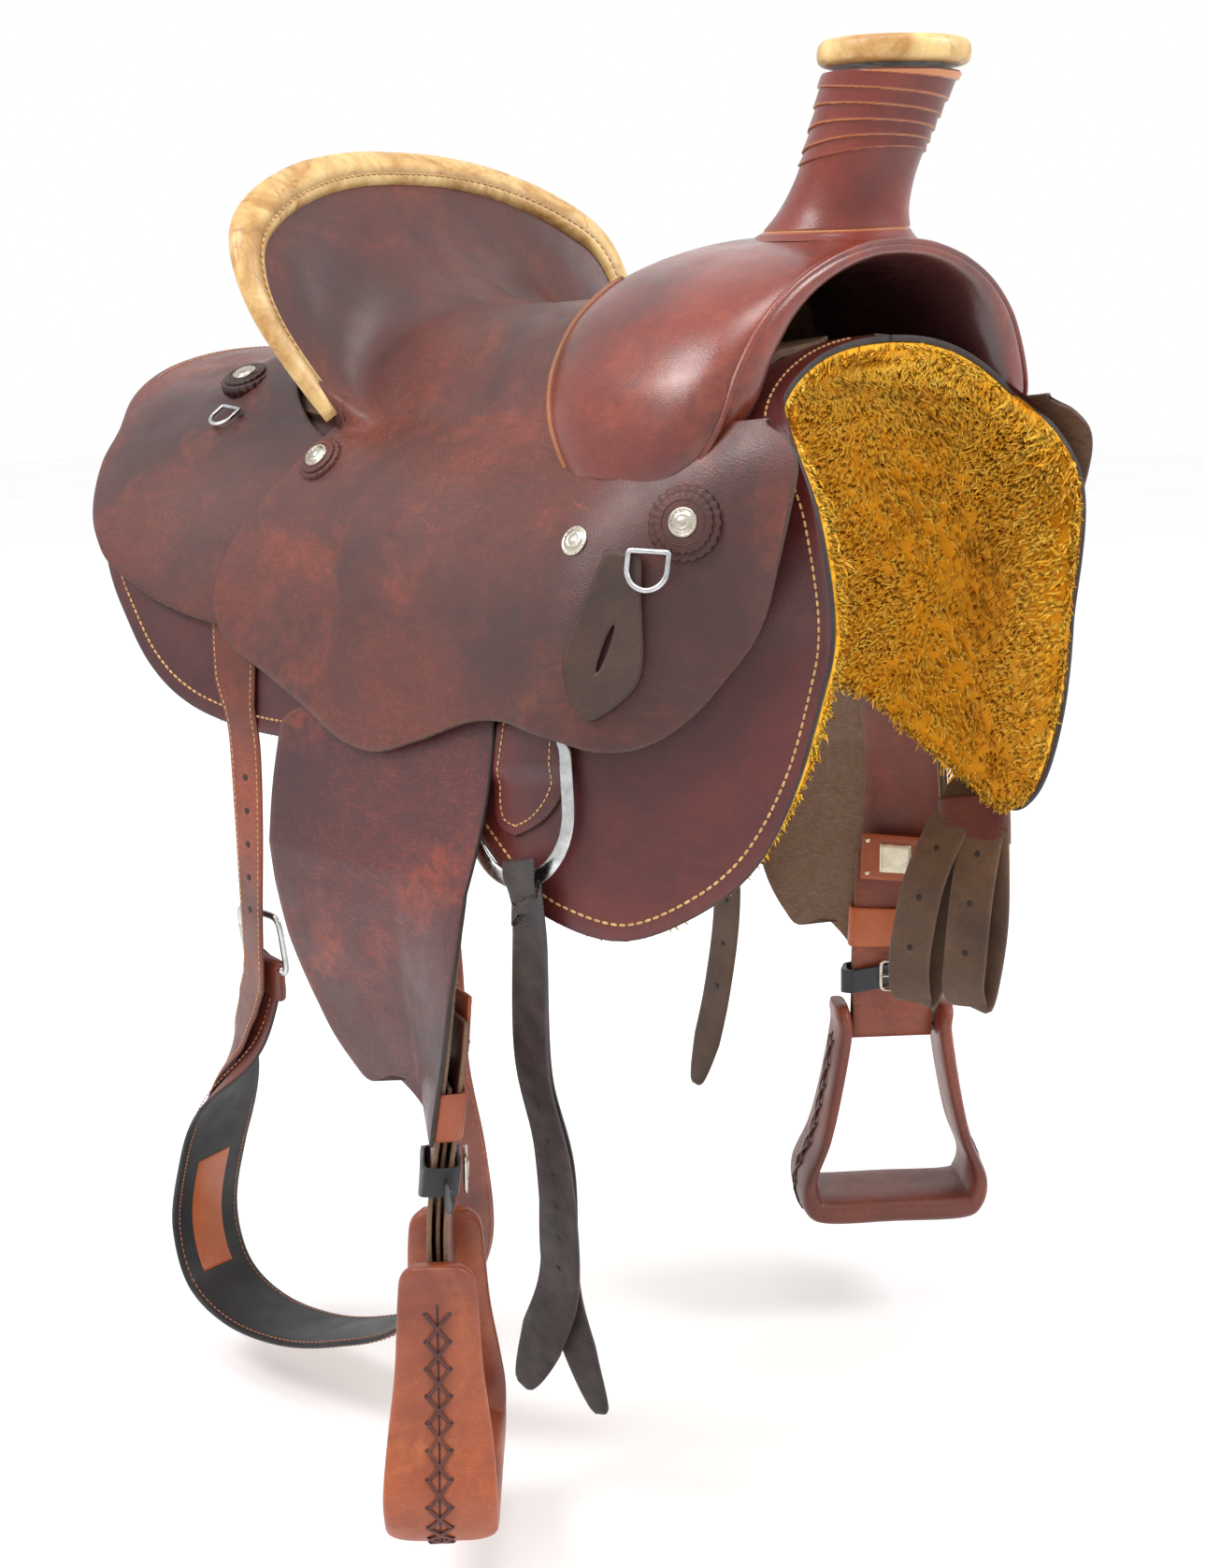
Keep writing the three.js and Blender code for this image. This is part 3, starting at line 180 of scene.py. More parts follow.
def lay_base(x, v):
    x, v = np.broadcast_arrays(np.asarray(x, float), np.asarray(v, float))
    k = ease((x + 150) / -220) * (len(REARWARD) - 1)
    i = np.minimum(k.astype(int), len(REARWARD) - 2)
    a = k - i
    s = np.clip(v, 0, DOWN[-2]) / STEP
    j = np.minimum(s.astype(int), len(DOWN) - 2)
    b = s - j

    def pick(t):
        return (1 - a) * ((1 - b) * t[i, j] + b * t[i, j + 1]) + a * (
            (1 - b) * t[i + 1, j] + b * t[i + 1, j + 1]
        )

    top = SPINE + WITHERS_RISE * ease((x - 20) / 210) + LOIN_RISE * ease((-150 - x) / 250)
    z = top - pick(DROP)
    y = pick(OUT) - NOSE_TUCK * ease((x - 130) / 150) * ease((70 - z) / 190)
    return np.stack([x, y, z], -1)


def lay(side, x, v, d):
    x, v, d = np.broadcast_arrays(np.asarray(x, float), np.asarray(v, float), np.asarray(d, float))
    p = lay_base(x, v)
    along = lay_base(x + 5, v) - lay_base(x - 5, v)
    down = lay_base(x, v + 5) - lay_base(x, np.maximum(v - 5, 0))
    n = unit(np.cross(down, along))
    n *= np.where(n[..., 2:] + n[..., 1:2] < 0, -1, 1)
    n[..., 1] *= ease(v / 6)
    p = p + unit(n) * d[..., None]
    p[..., 1] = np.where(v < 0.01, 0, p[..., 1]) * side
    return p


def bar_lift(x, v):
    hump = np.maximum(0, 1 - ((v - 79) / 58) ** 2) ** 0.8
    return 14 * hump * ease((x + 350) / 60) * ease((212 - x) / 40)


def spot(side, x, v, d, span=8):
    """A local frame on the surface: point, along the horse, down its side, and out."""
    point = lay(side, x, v, d)
    along = unit(lay(side, x + span, v, d) - lay(side, x - span, v, d))
    down = lay(side, x, v + span, d) - lay(side, x, v - span, d)
    down = unit(down - along * (down @ along))
    out = unit(lay(side, x, v, d + 1) - point)
    out = unit(out - along * (out @ along) - down * (out @ down))
    return point, along, down, out


def place(at, a, b, c):
    """Points at a along, b down and c out of a local frame."""
    point, along, down, out = at
    a, b, c = (np.asarray(t, float)[..., None] for t in (a, b, c))
    return point + a * along + b * down + c * out


# ---- mesh making ----------------------------------------------------------------------------
def quads(rows, cols, wrap_rows=False, wrap_cols=False):
    i, j = np.meshgrid(
        np.arange(rows if wrap_rows else rows - 1),
        np.arange(cols if wrap_cols else cols - 1),
        indexing="ij",
    )
    i2, j2 = (i + 1) % rows, (j + 1) % cols
    return np.stack([i * cols + j, i2 * cols + j, i2 * cols + j2, i * cols + j2], -1).reshape(-1, 4)


class Piece:
    """Collects the skins of one object; mark is a 0 to 1 value per point that materials can read."""

    def __init__(self, name):
        self.name, self.points, self.faces, self.kinds, self.marks = name, [], [], [], []
        self.count = 0

    def add(self, points, faces, kind=0, mark=0.0):
        points = np.asarray(points, float).reshape(-1, 3)
        faces = [[k + self.count for k in f] for f in np.asarray(faces).tolist()]
        self.faces += faces
        self.kinds += [kind] * len(faces) if np.isscalar(kind) else list(kind)
        self.marks.append(np.broadcast_to(np.asarray(mark, float).ravel(), len(points)))
        self.points.append(points)
        self.count += len(points)
        return self

    def loft(self, rings, kind=0, closed=False, mark=0.0):
        rows, n = rings.shape[:2]
        mark = np.broadcast_to(mark, (rows, n))
        self.add(rings, quads(rows, n, closed, True), kind, mark)
        if closed:
            return self
        for end in (0, rows - 1):
            centre = rings[end].mean(0)[None]
            fan = [[n, j, (j + 1) % n] for j in range(n)]
            self.add(np.concatenate([rings[end], centre]), fan, kind)
        return self

    def shell(self, outer, inner, kinds=(0, 1, 2), bulge=0.32, mark=0.0):
        """A sheet between two point grids, with a rounded rim."""
        rows, cols = outer.shape[:2]
        edge = [(0, j) for j in range(cols)] + [(i, cols - 1) for i in range(1, rows)]
        edge += [(rows - 1, j) for j in range(cols - 2, -1, -1)] + [(i, 0) for i in range(rows - 2, 0, -1)]
        i, j = np.array(edge).T
        near = (np.clip(i, 1, rows - 2), np.clip(j, 1, cols - 2))
        top, bottom = outer[i, j], inner[i, j]
        thick = top - bottom
        middle = (outer[near] + inner[near]) / 2
        away = (top + bottom) / 2 - middle
        away = unit(away - unit(thick) * (away * unit(thick)).sum(-1, keepdims=True))
        size = np.linalg.norm(thick, axis=-1, keepdims=True)
        steps = np.linspace(0, np.pi, 5)[:, None, None]
        rim = (top + bottom) / 2 + np.cos(steps) * thick / 2 + np.sin(steps) * away * size * bulge
        m = len(edge)
        mark = np.broadcast_to(mark, (rows, cols))
        self.add(outer, quads(rows, cols), kinds[0], mark)
        self.add(inner, quads(rows, cols)[:, ::-1], kinds[1])
        self.add(rim, quads(5, m, False, True), kinds[2], np.tile(mark[i, j], (5, 1)))
        return self

    def make(self, materials, node=None, slot=None, body=None, smooth=True):
        mesh = bpy.data.meshes.new(self.name)
        mesh.from_pydata((np.concatenate(self.points) * MM).tolist(), [], self.faces)
        mark = mesh.attributes.new("mark", "FLOAT", "POINT")
        mark.data.foreach_set("value", np.concatenate(self.marks).astype(np.float32))
        mesh.polygons.foreach_set("material_index", self.kinds)
        for material in materials:
            mesh.materials.append(material)
        work = bmesh.new()
        work.from_mesh(mesh)
        bmesh.ops.remove_doubles(work, verts=work.verts, dist=2e-6)
        bmesh.ops.recalc_face_normals(work, faces=work.faces)
        work.to_mesh(mesh)
        work.free()
        mesh.polygons.foreach_set("use_smooth", [smooth] * len(mesh.polygons))
        obj = bpy.data.objects.new(self.name, mesh)
        bpy.context.scene.collection.objects.link(obj)
        nodes = [node] if isinstance(node, str) else list(node or [])
        if nodes:
            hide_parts(*nodes)
        if body is None:
            body = frame["nodes"][nodes[0]]["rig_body"]
        if body:
            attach(obj, body)
        return obj


def sweep(path, across, width, thickness, n=20, power=(6, 3), closed=False):
    """Rings of a flat strap along a path; across is the width direction at each point."""
    ahead = np.roll(path, -1, 0) if closed else np.concatenate([path[1:], path[-1:]])
    behind = np.roll(path, 1, 0) if closed else np.concatenate([path[:1], path[:-1]])
    tangent = unit(ahead - behind)
    across = np.broadcast_to(across, path.shape)
    a = unit(across - tangent * (across * tangent).sum(-1, keepdims=True))
    b = np.cross(tangent, a)
    t = circle(n, 0.5)
    u = boxy(np.cos(t), power[0])
    w = boxy(np.sin(t), power[1])
    half = np.broadcast_to(np.asarray(width, float), len(path))[:, None, None] / 2
    deep = np.broadcast_to(np.asarray(thickness, float), len(path))[:, None, None] / 2
    return path[:, None] + half * u[None, :, None] * a[:, None] + deep * w[None, :, None] * b[:, None]


def rod(path, hint, width, depth=None, n=14, closed=False):
    return sweep(path, hint, width, width if depth is None else depth, n, (2, 2), closed)


def stitch(piece, path, normal, pitch=4.4, length=3.2, radius=0.55, kind=0):
    """A row of thread capsules along a path, each lying on the surface."""
    run = run_along(path)
    at = np.arange(pitch, run[-1] - pitch, pitch)
    if len(at) == 0:
        return
    spots = picked(at, run, path)
    ahead = picked(at + 0.5, run, path)
    lift = unit(picked(at, run, np.broadcast_to(normal, path.shape)))
    t = unit(ahead - spots)
    b = np.cross(t, lift)
    s = np.array([-1, -0.8, 0, 0.8, 1])
    r = np.array([0.25, 0.85, 1.1, 0.85, 0.25])
    angle = circle(6)
    along = (s * length / 2)[None, :, None, None] * t[:, None, None]
    up = (r[:, None] * np.sin(angle))[None, :, :, None] * lift[:, None, None]
    out = (r[:, None] * np.cos(angle))[None, :, :, None] * b[:, None, None]
    rings = spots[:, None, None] + along + radius * (up + out)
    tube = np.concatenate([quads(5, 6, False, True), [[0, 1, 2, 3], [0, 3, 4, 5]],
                           [[24, 25, 26, 27], [24, 27, 28, 29]]])
    faces = (np.arange(len(at))[:, None, None] * 30 + tube[None]).reshape(-1, 4)
    piece.add(rings, faces, kind)


# ---- materials ------------------------------------------------------------------------------
def srgb(r, g, b):
    c = np.array([r, g, b]) / 255
    return (*np.where(c <= 0.04045, c / 12.92, ((c + 0.055) / 1.055) ** 2.4), 1)


class Nodes:
    """A material under construction, with short calls for the nodes that it uses."""

    def __init__(self, name, roughness=0.5, metallic=0.0, **sockets):
        self.material = bpy.data.materials.new(name)
        self.material.use_nodes = True
        self.tree = self.material.node_tree
        self.shader = self.tree.nodes["Principled BSDF"]
        self.shader.inputs["Roughness"].default_value = roughness
        self.shader.inputs["Metallic"].default_value = metallic
        for key, value in sockets.items():
            self.shader.inputs[key.replace("_", " ")].default_value = value
        self.place = self.tree.nodes.new("ShaderNodeTexCoord").outputs["Object"]
        self.height = None

    def feed(self, socket, value):
        """Links the socket if the value comes from a node, and sets it if not."""
        if isinstance(value, bpy.types.NodeSocket):
            self.tree.links.new(value, socket)
        else:
            socket.default_value = value

    def node(self, kind, **inputs):
        n = self.tree.nodes.new("ShaderNode" + kind)
        for key, value in inputs.items():
            self.feed(n.inputs[key.replace("_", " ")], value)
        return n

    def stretched(self, x, y, z):
        n = self.node("Mapping", Vector=self.place)
        n.inputs["Scale"].default_value = (x, y, z)
        return n.outputs[0]

    def noise(self, scale, detail=4, rough=0.55, twist=0.0, at=None):
        n = self.node("TexNoise", Vector=at or self.place, Scale=scale, Detail=detail,
                      Roughness=rough, Distortion=twist)
        return n.outputs["Fac"]

    def cells(self, scale, feature="F1"):
        n = self.node("TexVoronoi", Vector=self.place, Scale=scale)
        n.feature = feature
        return n.outputs["Distance"]

    def ramp(self, value, low, high, a=0.0, b=1.0):
        n = self.node("MapRange", Value=value)
        for key, number in zip(("From Min", "From Max", "To Min", "To Max"), (low, high, a, b)):
            n.inputs[key].default_value = number
        return n.outputs[0]

    def times(self, a, b):
        n = self.tree.nodes.new("ShaderNodeMath")
        n.operation = "MULTIPLY"
        for socket, value in zip(n.inputs, (a, b)):
            self.feed(socket, value)
        return n.outputs[0]

    def mix(self, factor, a, b):
        n = self.tree.nodes.new("ShaderNodeMix")
        n.data_type = "RGBA"
        for socket, value in zip((n.inputs[0], n.inputs[6], n.inputs[7]), (factor, a, b)):
            self.feed(socket, value)
        return n.outputs[2]

    def mark(self):
        n = self.tree.nodes.new("ShaderNodeAttribute")
        n.attribute_name = "mark"
        return n.outputs["Fac"]

    def bump(self, height, distance, strength=1.0):
        n = self.node("Bump", Height=height, Strength=strength, Distance=distance)
        if self.height is not None:
            self.tree.links.new(self.height, n.inputs["Normal"])
        self.height = n.outputs[0]
        self.tree.links.new(self.height, self.shader.inputs["Normal"])

    def colour(self, value):
        self.tree.links.new(value, self.shader.inputs["Base Color"])

    def rough(self, value):
        self.tree.links.new(value, self.shader.inputs["Roughness"])


def leather(name, base, dark, scuff, gloss=0.42, wear=0.5, grain=1.0, coat=0.12, mark=None):
    """Oiled leather: cloudy colour, pulled-up orange scuffs, hair-line scratches, pore grain."""
    m = Nodes(name, gloss, Coat_Weight=coat, Coat_Roughness=0.3, Specular_IOR_Level=0.42)
    cloud = m.ramp(m.noise(5, 5, 0.6, 0.6), 0.36, 0.62)
    colour = m.mix(cloud, dark, base)
    mottled = m.ramp(m.noise(70, 4, 0.7), 0.35, 0.75)
    colour = m.mix(m.times(mottled, 0.3), colour, dark)
    rubbed = m.times(m.ramp(m.noise(7, 6, 0.6, 1.2), 0.54, 0.76), m.ramp(m.noise(120, 3), 0.3, 0.7))
    colour = m.mix(m.times(rubbed, wear), colour, scuff)
    crease = m.noise(26, 5, 0.7, 2.2, m.stretched(1, 1, 2.6))
    line = m.times(m.ramp(crease, 0.49, 0.5), m.ramp(crease, 0.512, 0.502))
    colour = m.mix(m.times(m.times(line, cloud), wear * 0.9), colour, scuff)
    # The mark blends in a colour per point: painted shade in the fork's gullet, and lighter band edges and
    # seam line on the horn wrap.
    if mark is not None:
        colour = m.mix(m.mark(), colour, mark)
    m.colour(colour)
    m.rough(m.ramp(m.noise(34, 5), 0.3, 0.7, gloss - 0.09, gloss + 0.13))
    m.bump(m.noise(16, 4), 0.0016, 0.35)
    m.bump(m.cells(720), 0.00022 * grain, 0.5)
    m.bump(m.noise(1500, 2), 0.00012 * grain, 0.4)
    return m.material


def cut_edge(name, base, dark):
    """The cut edge or flesh side of leather: layered fibre."""
    m = Nodes(name, 0.62)
    layers = m.noise(160, 4, 0.6, 0, m.stretched(1, 1, 6))
    m.colour(m.mix(m.ramp(layers, 0.3, 0.7), dark, base))
    m.rough(m.ramp(m.noise(60), 0.3, 0.7, 0.5, 0.8))
    m.bump(m.noise(900, 3), 0.0004, 0.6)
    return m.material


def thread(name, base, dark):
    m = Nodes(name, 0.7)
    m.colour(m.mix(m.ramp(m.noise(260, 3), 0.3, 0.7), dark, base))
    m.rough(m.ramp(m.noise(300), 0.3, 0.7, 0.55, 0.8))
    m.bump(m.noise(2400, 2), 0.0002, 0.6)
    return m.material


def metal(name, tint, dull, gloss):
    m = Nodes(name, gloss, 1.0)
    worn = m.ramp(m.noise(60, 6, 0.7), 0.42, 0.72)
    m.colour(m.mix(worn, tint, dull))
    m.rough(m.ramp(m.noise(220, 4), 0.3, 0.7, gloss - 0.06, gloss + 0.16))
    m.bump(m.noise(700, 4, 0.7, 0, m.stretched(1, 1, 8)), 0.00008, 0.5)
    return m.material


def rawhide(name):
    m = Nodes(name, 0.4, Coat_Weight=0.15, Coat_Roughness=0.25, Subsurface_Weight=0.06)
    m.shader.inputs["Subsurface Radius"].default_value = (0.004, 0.003, 0.0015)
    cloudy = m.ramp(m.noise(26, 5, 0.65, 0.8), 0.35, 0.68)
    colour = m.mix(cloudy, srgb(168, 122, 62), srgb(222, 190, 128))
    # Random dirty patches.
    darkening = m.times(m.ramp(m.noise(60, 5, 0.7, 1), 0.54, 0.7), 0.6)
    colour = m.mix(darkening, colour, srgb(112, 72, 36))
    # The mark darkens the horn cap rim's lower edge and the cantle binding's groove.
    m.colour(m.mix(m.mark(), colour, srgb(120, 82, 40)))
    m.rough(m.ramp(m.noise(90), 0.3, 0.7, 0.3, 0.55))
    m.bump(m.noise(120, 5), 0.0007, 0.5)
    m.bump(m.cells(500), 0.0002, 0.4)
    return m.material


def pile(name, light, deep):
    """Long fleece: colour runs from the root, mark 0, to the tip, mark 1, and differs from lock to lock."""
    m = Nodes(name, 0.85, Specular_IOR_Level=0.1, Sheen_Weight=0.3, Sheen_Roughness=0.6)
    m.shader.inputs["Sheen Tint"].default_value = srgb(255, 206, 90)
    lock = m.ramp(m.noise(60, 4, 0.6), 0.34, 0.68)
    tip = m.mix(lock, srgb(*deep), srgb(*light))
    m.colour(m.mix(m.mark(), srgb(224, 150, 22), tip))
    m.rough(m.ramp(m.noise(150), 0.3, 0.7, 0.75, 0.95))
    m.bump(m.noise(420, 4, 0.7, 0.4), 0.0012, 0.6)
    return m.material


def timber(name, light, dark):
    m = Nodes(name, 0.6)
    rings = m.noise(30, 6, 0.6, 0.8, m.stretched(0.3, 4, 4))
    m.colour(m.mix(m.ramp(rings, 0.3, 0.7), dark, light))
    m.rough(m.ramp(m.noise(80), 0.3, 0.7, 0.5, 0.75))
    m.bump(rings, 0.0006, 0.5)
    return m.material


def ribbed(name, base, light):
    """Strap leather pressed with fine cross ribs."""
    m = Nodes(name, 0.5, Coat_Weight=0.05)
    wave = m.node("TexWave", Vector=m.place, Scale=120.0, Distortion=0.6, Detail=2.0)
    wave.bands_direction = "Z"
    m.colour(m.mix(m.ramp(m.noise(45, 5), 0.35, 0.75), base, light))
    m.rough(m.ramp(m.noise(70), 0.3, 0.7, 0.42, 0.65))
    m.bump(wave.outputs["Fac"], 0.0006, 0.5)
    m.bump(m.cells(800), 0.0002, 0.5)
    return m.material


RED_BROWN, DEEP, ORANGE = srgb(96, 42, 33), srgb(60, 33, 32), srgb(172, 78, 40)
SEAT_LEATHER = leather("seat_leather", RED_BROWN, DEEP, ORANGE, 0.4, 0.5)
SKIRT_LEATHER = leather("skirt_leather", srgb(100, 38, 32), srgb(58, 24, 28), srgb(150, 62, 38), 0.38, 0.35)
# The swell leather's last colour, srgb(58, 32, 34), is painted shade for the fork's underside in the gullet.
SWELL_LEATHER = leather("swell_leather", srgb(118, 40, 27), srgb(62, 22, 18), srgb(172, 78, 40), 0.26, 0.4,
                        0.7, 0.55, srgb(58, 32, 34))
FENDER_LEATHER = leather("fender_leather", srgb(84, 38, 38), srgb(50, 25, 30), srgb(166, 70, 38), 0.42, 0.7)
WRAP_LEATHER = leather("wrap_leather", srgb(128, 48, 34), srgb(80, 28, 24), srgb(176, 84, 48), 0.36, 0.4,
                       0.8, 0.2, srgb(196, 128, 78))
ROSETTE_LEATHER = leather("rosette_leather", srgb(96, 42, 32), srgb(50, 25, 22), srgb(150, 80, 50), 0.5, 0.4)
KEEPER_LEATHER = leather("keeper_leather", srgb(82, 52, 38), srgb(48, 30, 24), srgb(130, 80, 48), 0.5, 0.5)
BILLET_LEATHER = leather("billet_leather", srgb(128, 58, 36), srgb(82, 36, 28), srgb(190, 96, 52), 0.42, 0.6)
ORANGE_LEATHER = leather("orange_leather", srgb(176, 92, 48), srgb(132, 62, 34), srgb(210, 128, 70), 0.4, 0.4)
STIRRUP_LEATHER = leather("stirrup_leather", srgb(160, 80, 44), srgb(112, 50, 32),
                          srgb(200, 118, 64), 0.4, 0.6)
# A darker copy of the stirrup leather: painted shade for the far, left stirrup.
STIRRUP_PAINTED_SHADE = leather("stirrup_leather_painted_shade", srgb(122, 56, 38), srgb(78, 36, 30),
                       srgb(176, 92, 54), 0.42, 0.6)
WELT_LEATHER = leather("welt_leather", srgb(150, 88, 46), srgb(104, 58, 34), srgb(190, 124, 72), 0.45, 0.4)
LATIGO_LEATHER = leather("latigo_leather", srgb(96, 72, 54), srgb(58, 40, 32), srgb(140, 104, 72), 0.55, 0.5)
BLACK_LEATHER = leather("black_leather", srgb(32, 34, 42), srgb(17, 18, 23), srgb(70, 66, 66), 0.42, 0.3)
LINING = leather("cinch_lining", srgb(30, 30, 34), srgb(18, 18, 21), srgb(48, 46, 46), 0.6, 0.2)
OFF_BILLET = ribbed("off_billet_leather", srgb(38, 32, 34), srgb(66, 54, 50))
EDGE_BROWN = cut_edge("edge_brown", srgb(88, 60, 44), srgb(48, 32, 26))
EDGE_DARK = cut_edge("edge_dark", srgb(50, 38, 34), srgb(26, 20, 20))
FLESH = cut_edge("flesh_side", srgb(128, 98, 74), srgb(88, 64, 48))
TAN_THREAD = thread("tan_thread", srgb(214, 170, 112), srgb(164, 120, 72))
RED_THREAD = thread("red_thread", srgb(190, 120, 84), srgb(140, 78, 52))
STEEL = metal("steel", (0.6, 0.6, 0.6, 1), (0.3, 0.3, 0.3, 1), 0.18)
NICKEL = metal("nickel", (0.6, 0.55, 0.46, 1), (0.28, 0.24, 0.19, 1), 0.2)
BRASSY = metal("cream_plate", (0.78, 0.72, 0.55, 1), (0.55, 0.5, 0.36, 1), 0.35)
IRON = metal("dark_bolt", (0.16, 0.16, 0.17, 1), (0.09, 0.08, 0.08, 1), 0.4)
RAWHIDE = rawhide("rawhide")
FLEECE = pile("fleece", (255, 216, 92), (250, 178, 38))
TREE = timber("rawhide_tree", srgb(112, 80, 54), srgb(72, 48, 34))
WOOD = timber("stirrup_wood", srgb(166, 122, 76), srgb(112, 76, 44))

# ---- skirts and fleece ----------------------------------------------------------------------
SKIRT_EDGE = [
    (-452, 3), (-450, 60), (-438, 120), (-416, 172), (-388, 224), (-344, 282), (-310, 316), (-280, 342),
    (-246, 358), (-200, 364), (-100, 364), (-8, 366), (50, 388), (106, 436), (142, 466), (180, 484),
    (216, 470), (246, 438), (272, 382), (284, 330), (290, 266), (284, 206), (262, 166), (238, 138),
    (228, 80), (226, 3),
]
SKIRT_SPINE = [(-452, 0.5), (-112, 0.5), (226, 0.5)]


def ruled(edge, spine, rows, cols, inset=0.0):
    """A grid of (x, v) between two curves; the edge side may be pulled in towards the other."""
    a, b = spline(edge, rows)[:, None], spline(spine, rows)[:, None]
    if inset:
        a = a + unit(b - a) * inset
    return a + (b - a) * np.linspace(0, 1, cols + 1)[None, :, None]


def inset_curve(curve, by):
    """The curve moved to its left or right in the (x, v) plane, whichever is the inside."""
    t = unit(np.gradient(curve, axis=0))
    n = np.stack([-t[:, 1], t[:, 0]], 1)
    inside = np.array([curve[:, 0].mean(), curve[:, 1].mean()]) - curve
    n *= np.sign((n * inside).sum(1).mean())
    return curve + n * by


def lay_stitches(piece, side, curve, d, kind=0, **how):
    x, v = curve.T
    points = lay(side, x, v, d)
    normals = lay(side, x, v, np.asarray(d) + 1) - points
    stitch(piece, points, normals, kind=kind, **how)


def skirt_wave(x, v):
    return 0.8 * np.sin(x / 46) * np.sin(v / 61)


def skirt(name, side):
    g = ruled(SKIRT_EDGE, SKIRT_SPINE, 220, 50)
    wave = skirt_wave(g[..., 0], g[..., 1])
    outer, inner = (lay(side, g[..., 0], g[..., 1], d + wave) for d in SKIRT[::-1])
    piece = Piece(f"skirt_cover_{name}").shell(outer, inner, (0, 2, 1))
    curve = inset_curve(spline(SKIRT_EDGE, 600)[8:-8], 10)
    curve = curve[curve[:, 1] > 8]
    d = SKIRT[1] + 0.1 + skirt_wave(*curve.T)
    lay_stitches(piece, side, curve, d, 3, pitch=5.6, length=4.3, radius=0.9)
    piece.make([SKIRT_LEATHER, EDGE_DARK, FLESH, TAN_THREAD], f"skirt_{name}", "leather_brown")


def locks(points, out, length, lean, width, curl):
    """Curved tapering locks of pile: three-sided strands that bend over as they grow."""
    n = len(points)
    s = np.linspace(0, 1, 5)
    spread = rng.normal(0, 0.35, (n, 3))
    grow = unit(out + 0.5 * lean + spread)
    fall = unit(lean + 0.7 * spread)
    away = unit(np.cross(grow, fall) + 1e-4)
    swing = rng.uniform(-1, 1, n)[:, None, None] * curl
    spine = (
        points[:, None]
        + (s - 0.35 * s**2)[None, :, None] * (grow * length[:, None])[:, None]
        + (0.55 * s**2)[None, :, None] * (fall * length[:, None])[:, None]
        + np.sin(s * 4)[None, :, None] * swing * away[:, None]
    )
    r = width[:, None] * np.array([1, 0.95, 0.75, 0.45, 0.08])[None]
    corner = [(1, 0), (-0.5, 0.87), (-0.5, -0.87)]
    rings = np.stack(
        [spine + r[..., None] * (a * away[:, None] + b * fall[:, None] * 0.6 + b * 0.6 * grow[:, None])
         for a, b in corner], 2,
    )
    tube = quads(5, 3, False, True)
    faces = (np.arange(n)[:, None, None] * 15 + tube[None]).reshape(-1, 4)
    return rings, faces, np.broadcast_to(s[None, :, None] ** 0.7, (n, 5, 3))


LOCKS_PER_SIDE = 24000
FRINGE = 6000


def fringe(side):
    """Short locks that stand out past the skirt's edge."""
    u = rng.uniform(0, 1, FRINGE)
    edge, spine = spline(SKIRT_EDGE, 800), spline(SKIRT_SPINE, 800)
    k = (u * 799).astype(int)
    inside = unit(spine[k] - edge[k])
    at = edge[k] + inside * rng.uniform(3.5, 7, (FRINGE, 1))
    at[:, 1] = np.maximum(at[:, 1], 1)
    d = rng.uniform(5.5, 11, FRINGE)
    roots = lay(side, at[:, 0], at[:, 1], d)
    beyond = at - inside * 5
    outward = unit(lay(side, beyond[:, 0], np.maximum(beyond[:, 1], 1), d - 3) - roots)
    length, width = rng.uniform(4, 8, FRINGE), rng.uniform(1.2, 2.2, FRINGE)
    rings, faces, _ = locks(roots, outward, length, outward, width, 1.5)
    return rings, faces


def fleece(name, side):
    g = ruled(SKIRT_EDGE, SKIRT_SPINE, 200, 70, 4)
    x, v = g[..., 0], g[..., 1]
    clump = 1.5 * np.sin(x / 13 + 2 * np.sin(v / 19)) * np.sin(v / 11 + 1.6 * np.sin(x / 23))
    inner = lay(side, x, v, 5.0 + clump)
    outer = lay(side, x, v, 12.0)
    piece = Piece(f"fleece_pile_{name}").shell(outer, inner, (0, 0, 0), 0.5, 0.45)
    u, w = rng.uniform(0, 1, (2, LOCKS_PER_SIDE))
    fine = ruled(SKIRT_EDGE, SKIRT_SPINE, 400, 100, 3)
    area_u = (u * 399).astype(int), (w**0.85 * 99).astype(int)
    at = fine[area_u] + rng.uniform(-2.5, 2.5, (LOCKS_PER_SIDE, 2))
    at[:, 1] = np.maximum(at[:, 1], 1)
    roots = lay(side, at[:, 0], at[:, 1], 6.0)
    to_horse = unit(lay(side, at[:, 0], at[:, 1], 0) - roots)
    down = unit(lay(side, at[:, 0], at[:, 1] + 6, 6.0) - roots)
    back = unit(lay(side, at[:, 0] - 6, at[:, 1], 6.0) - roots)
    whirl = np.sin(at[:, 0] / 31 + np.sin(at[:, 1] / 27))[:, None]
    lean = unit(down * 0.8 + back * whirl + rng.normal(0, 0.25, roots.shape))
    length = rng.uniform(8, 15, LOCKS_PER_SIDE)
    rings, faces, mark = locks(roots, to_horse, length, lean, rng.uniform(1.7, 3.0, LOCKS_PER_SIDE), 2.6)
    piece.add(rings, faces, 0, mark)
    piece.add(*fringe(side), 0, 1.0)
    piece.make([FLEECE], f"fleece_{name}", "fleece")


for name, side in SIDES.items():
    skirt(name, side)
    fleece(name, side)

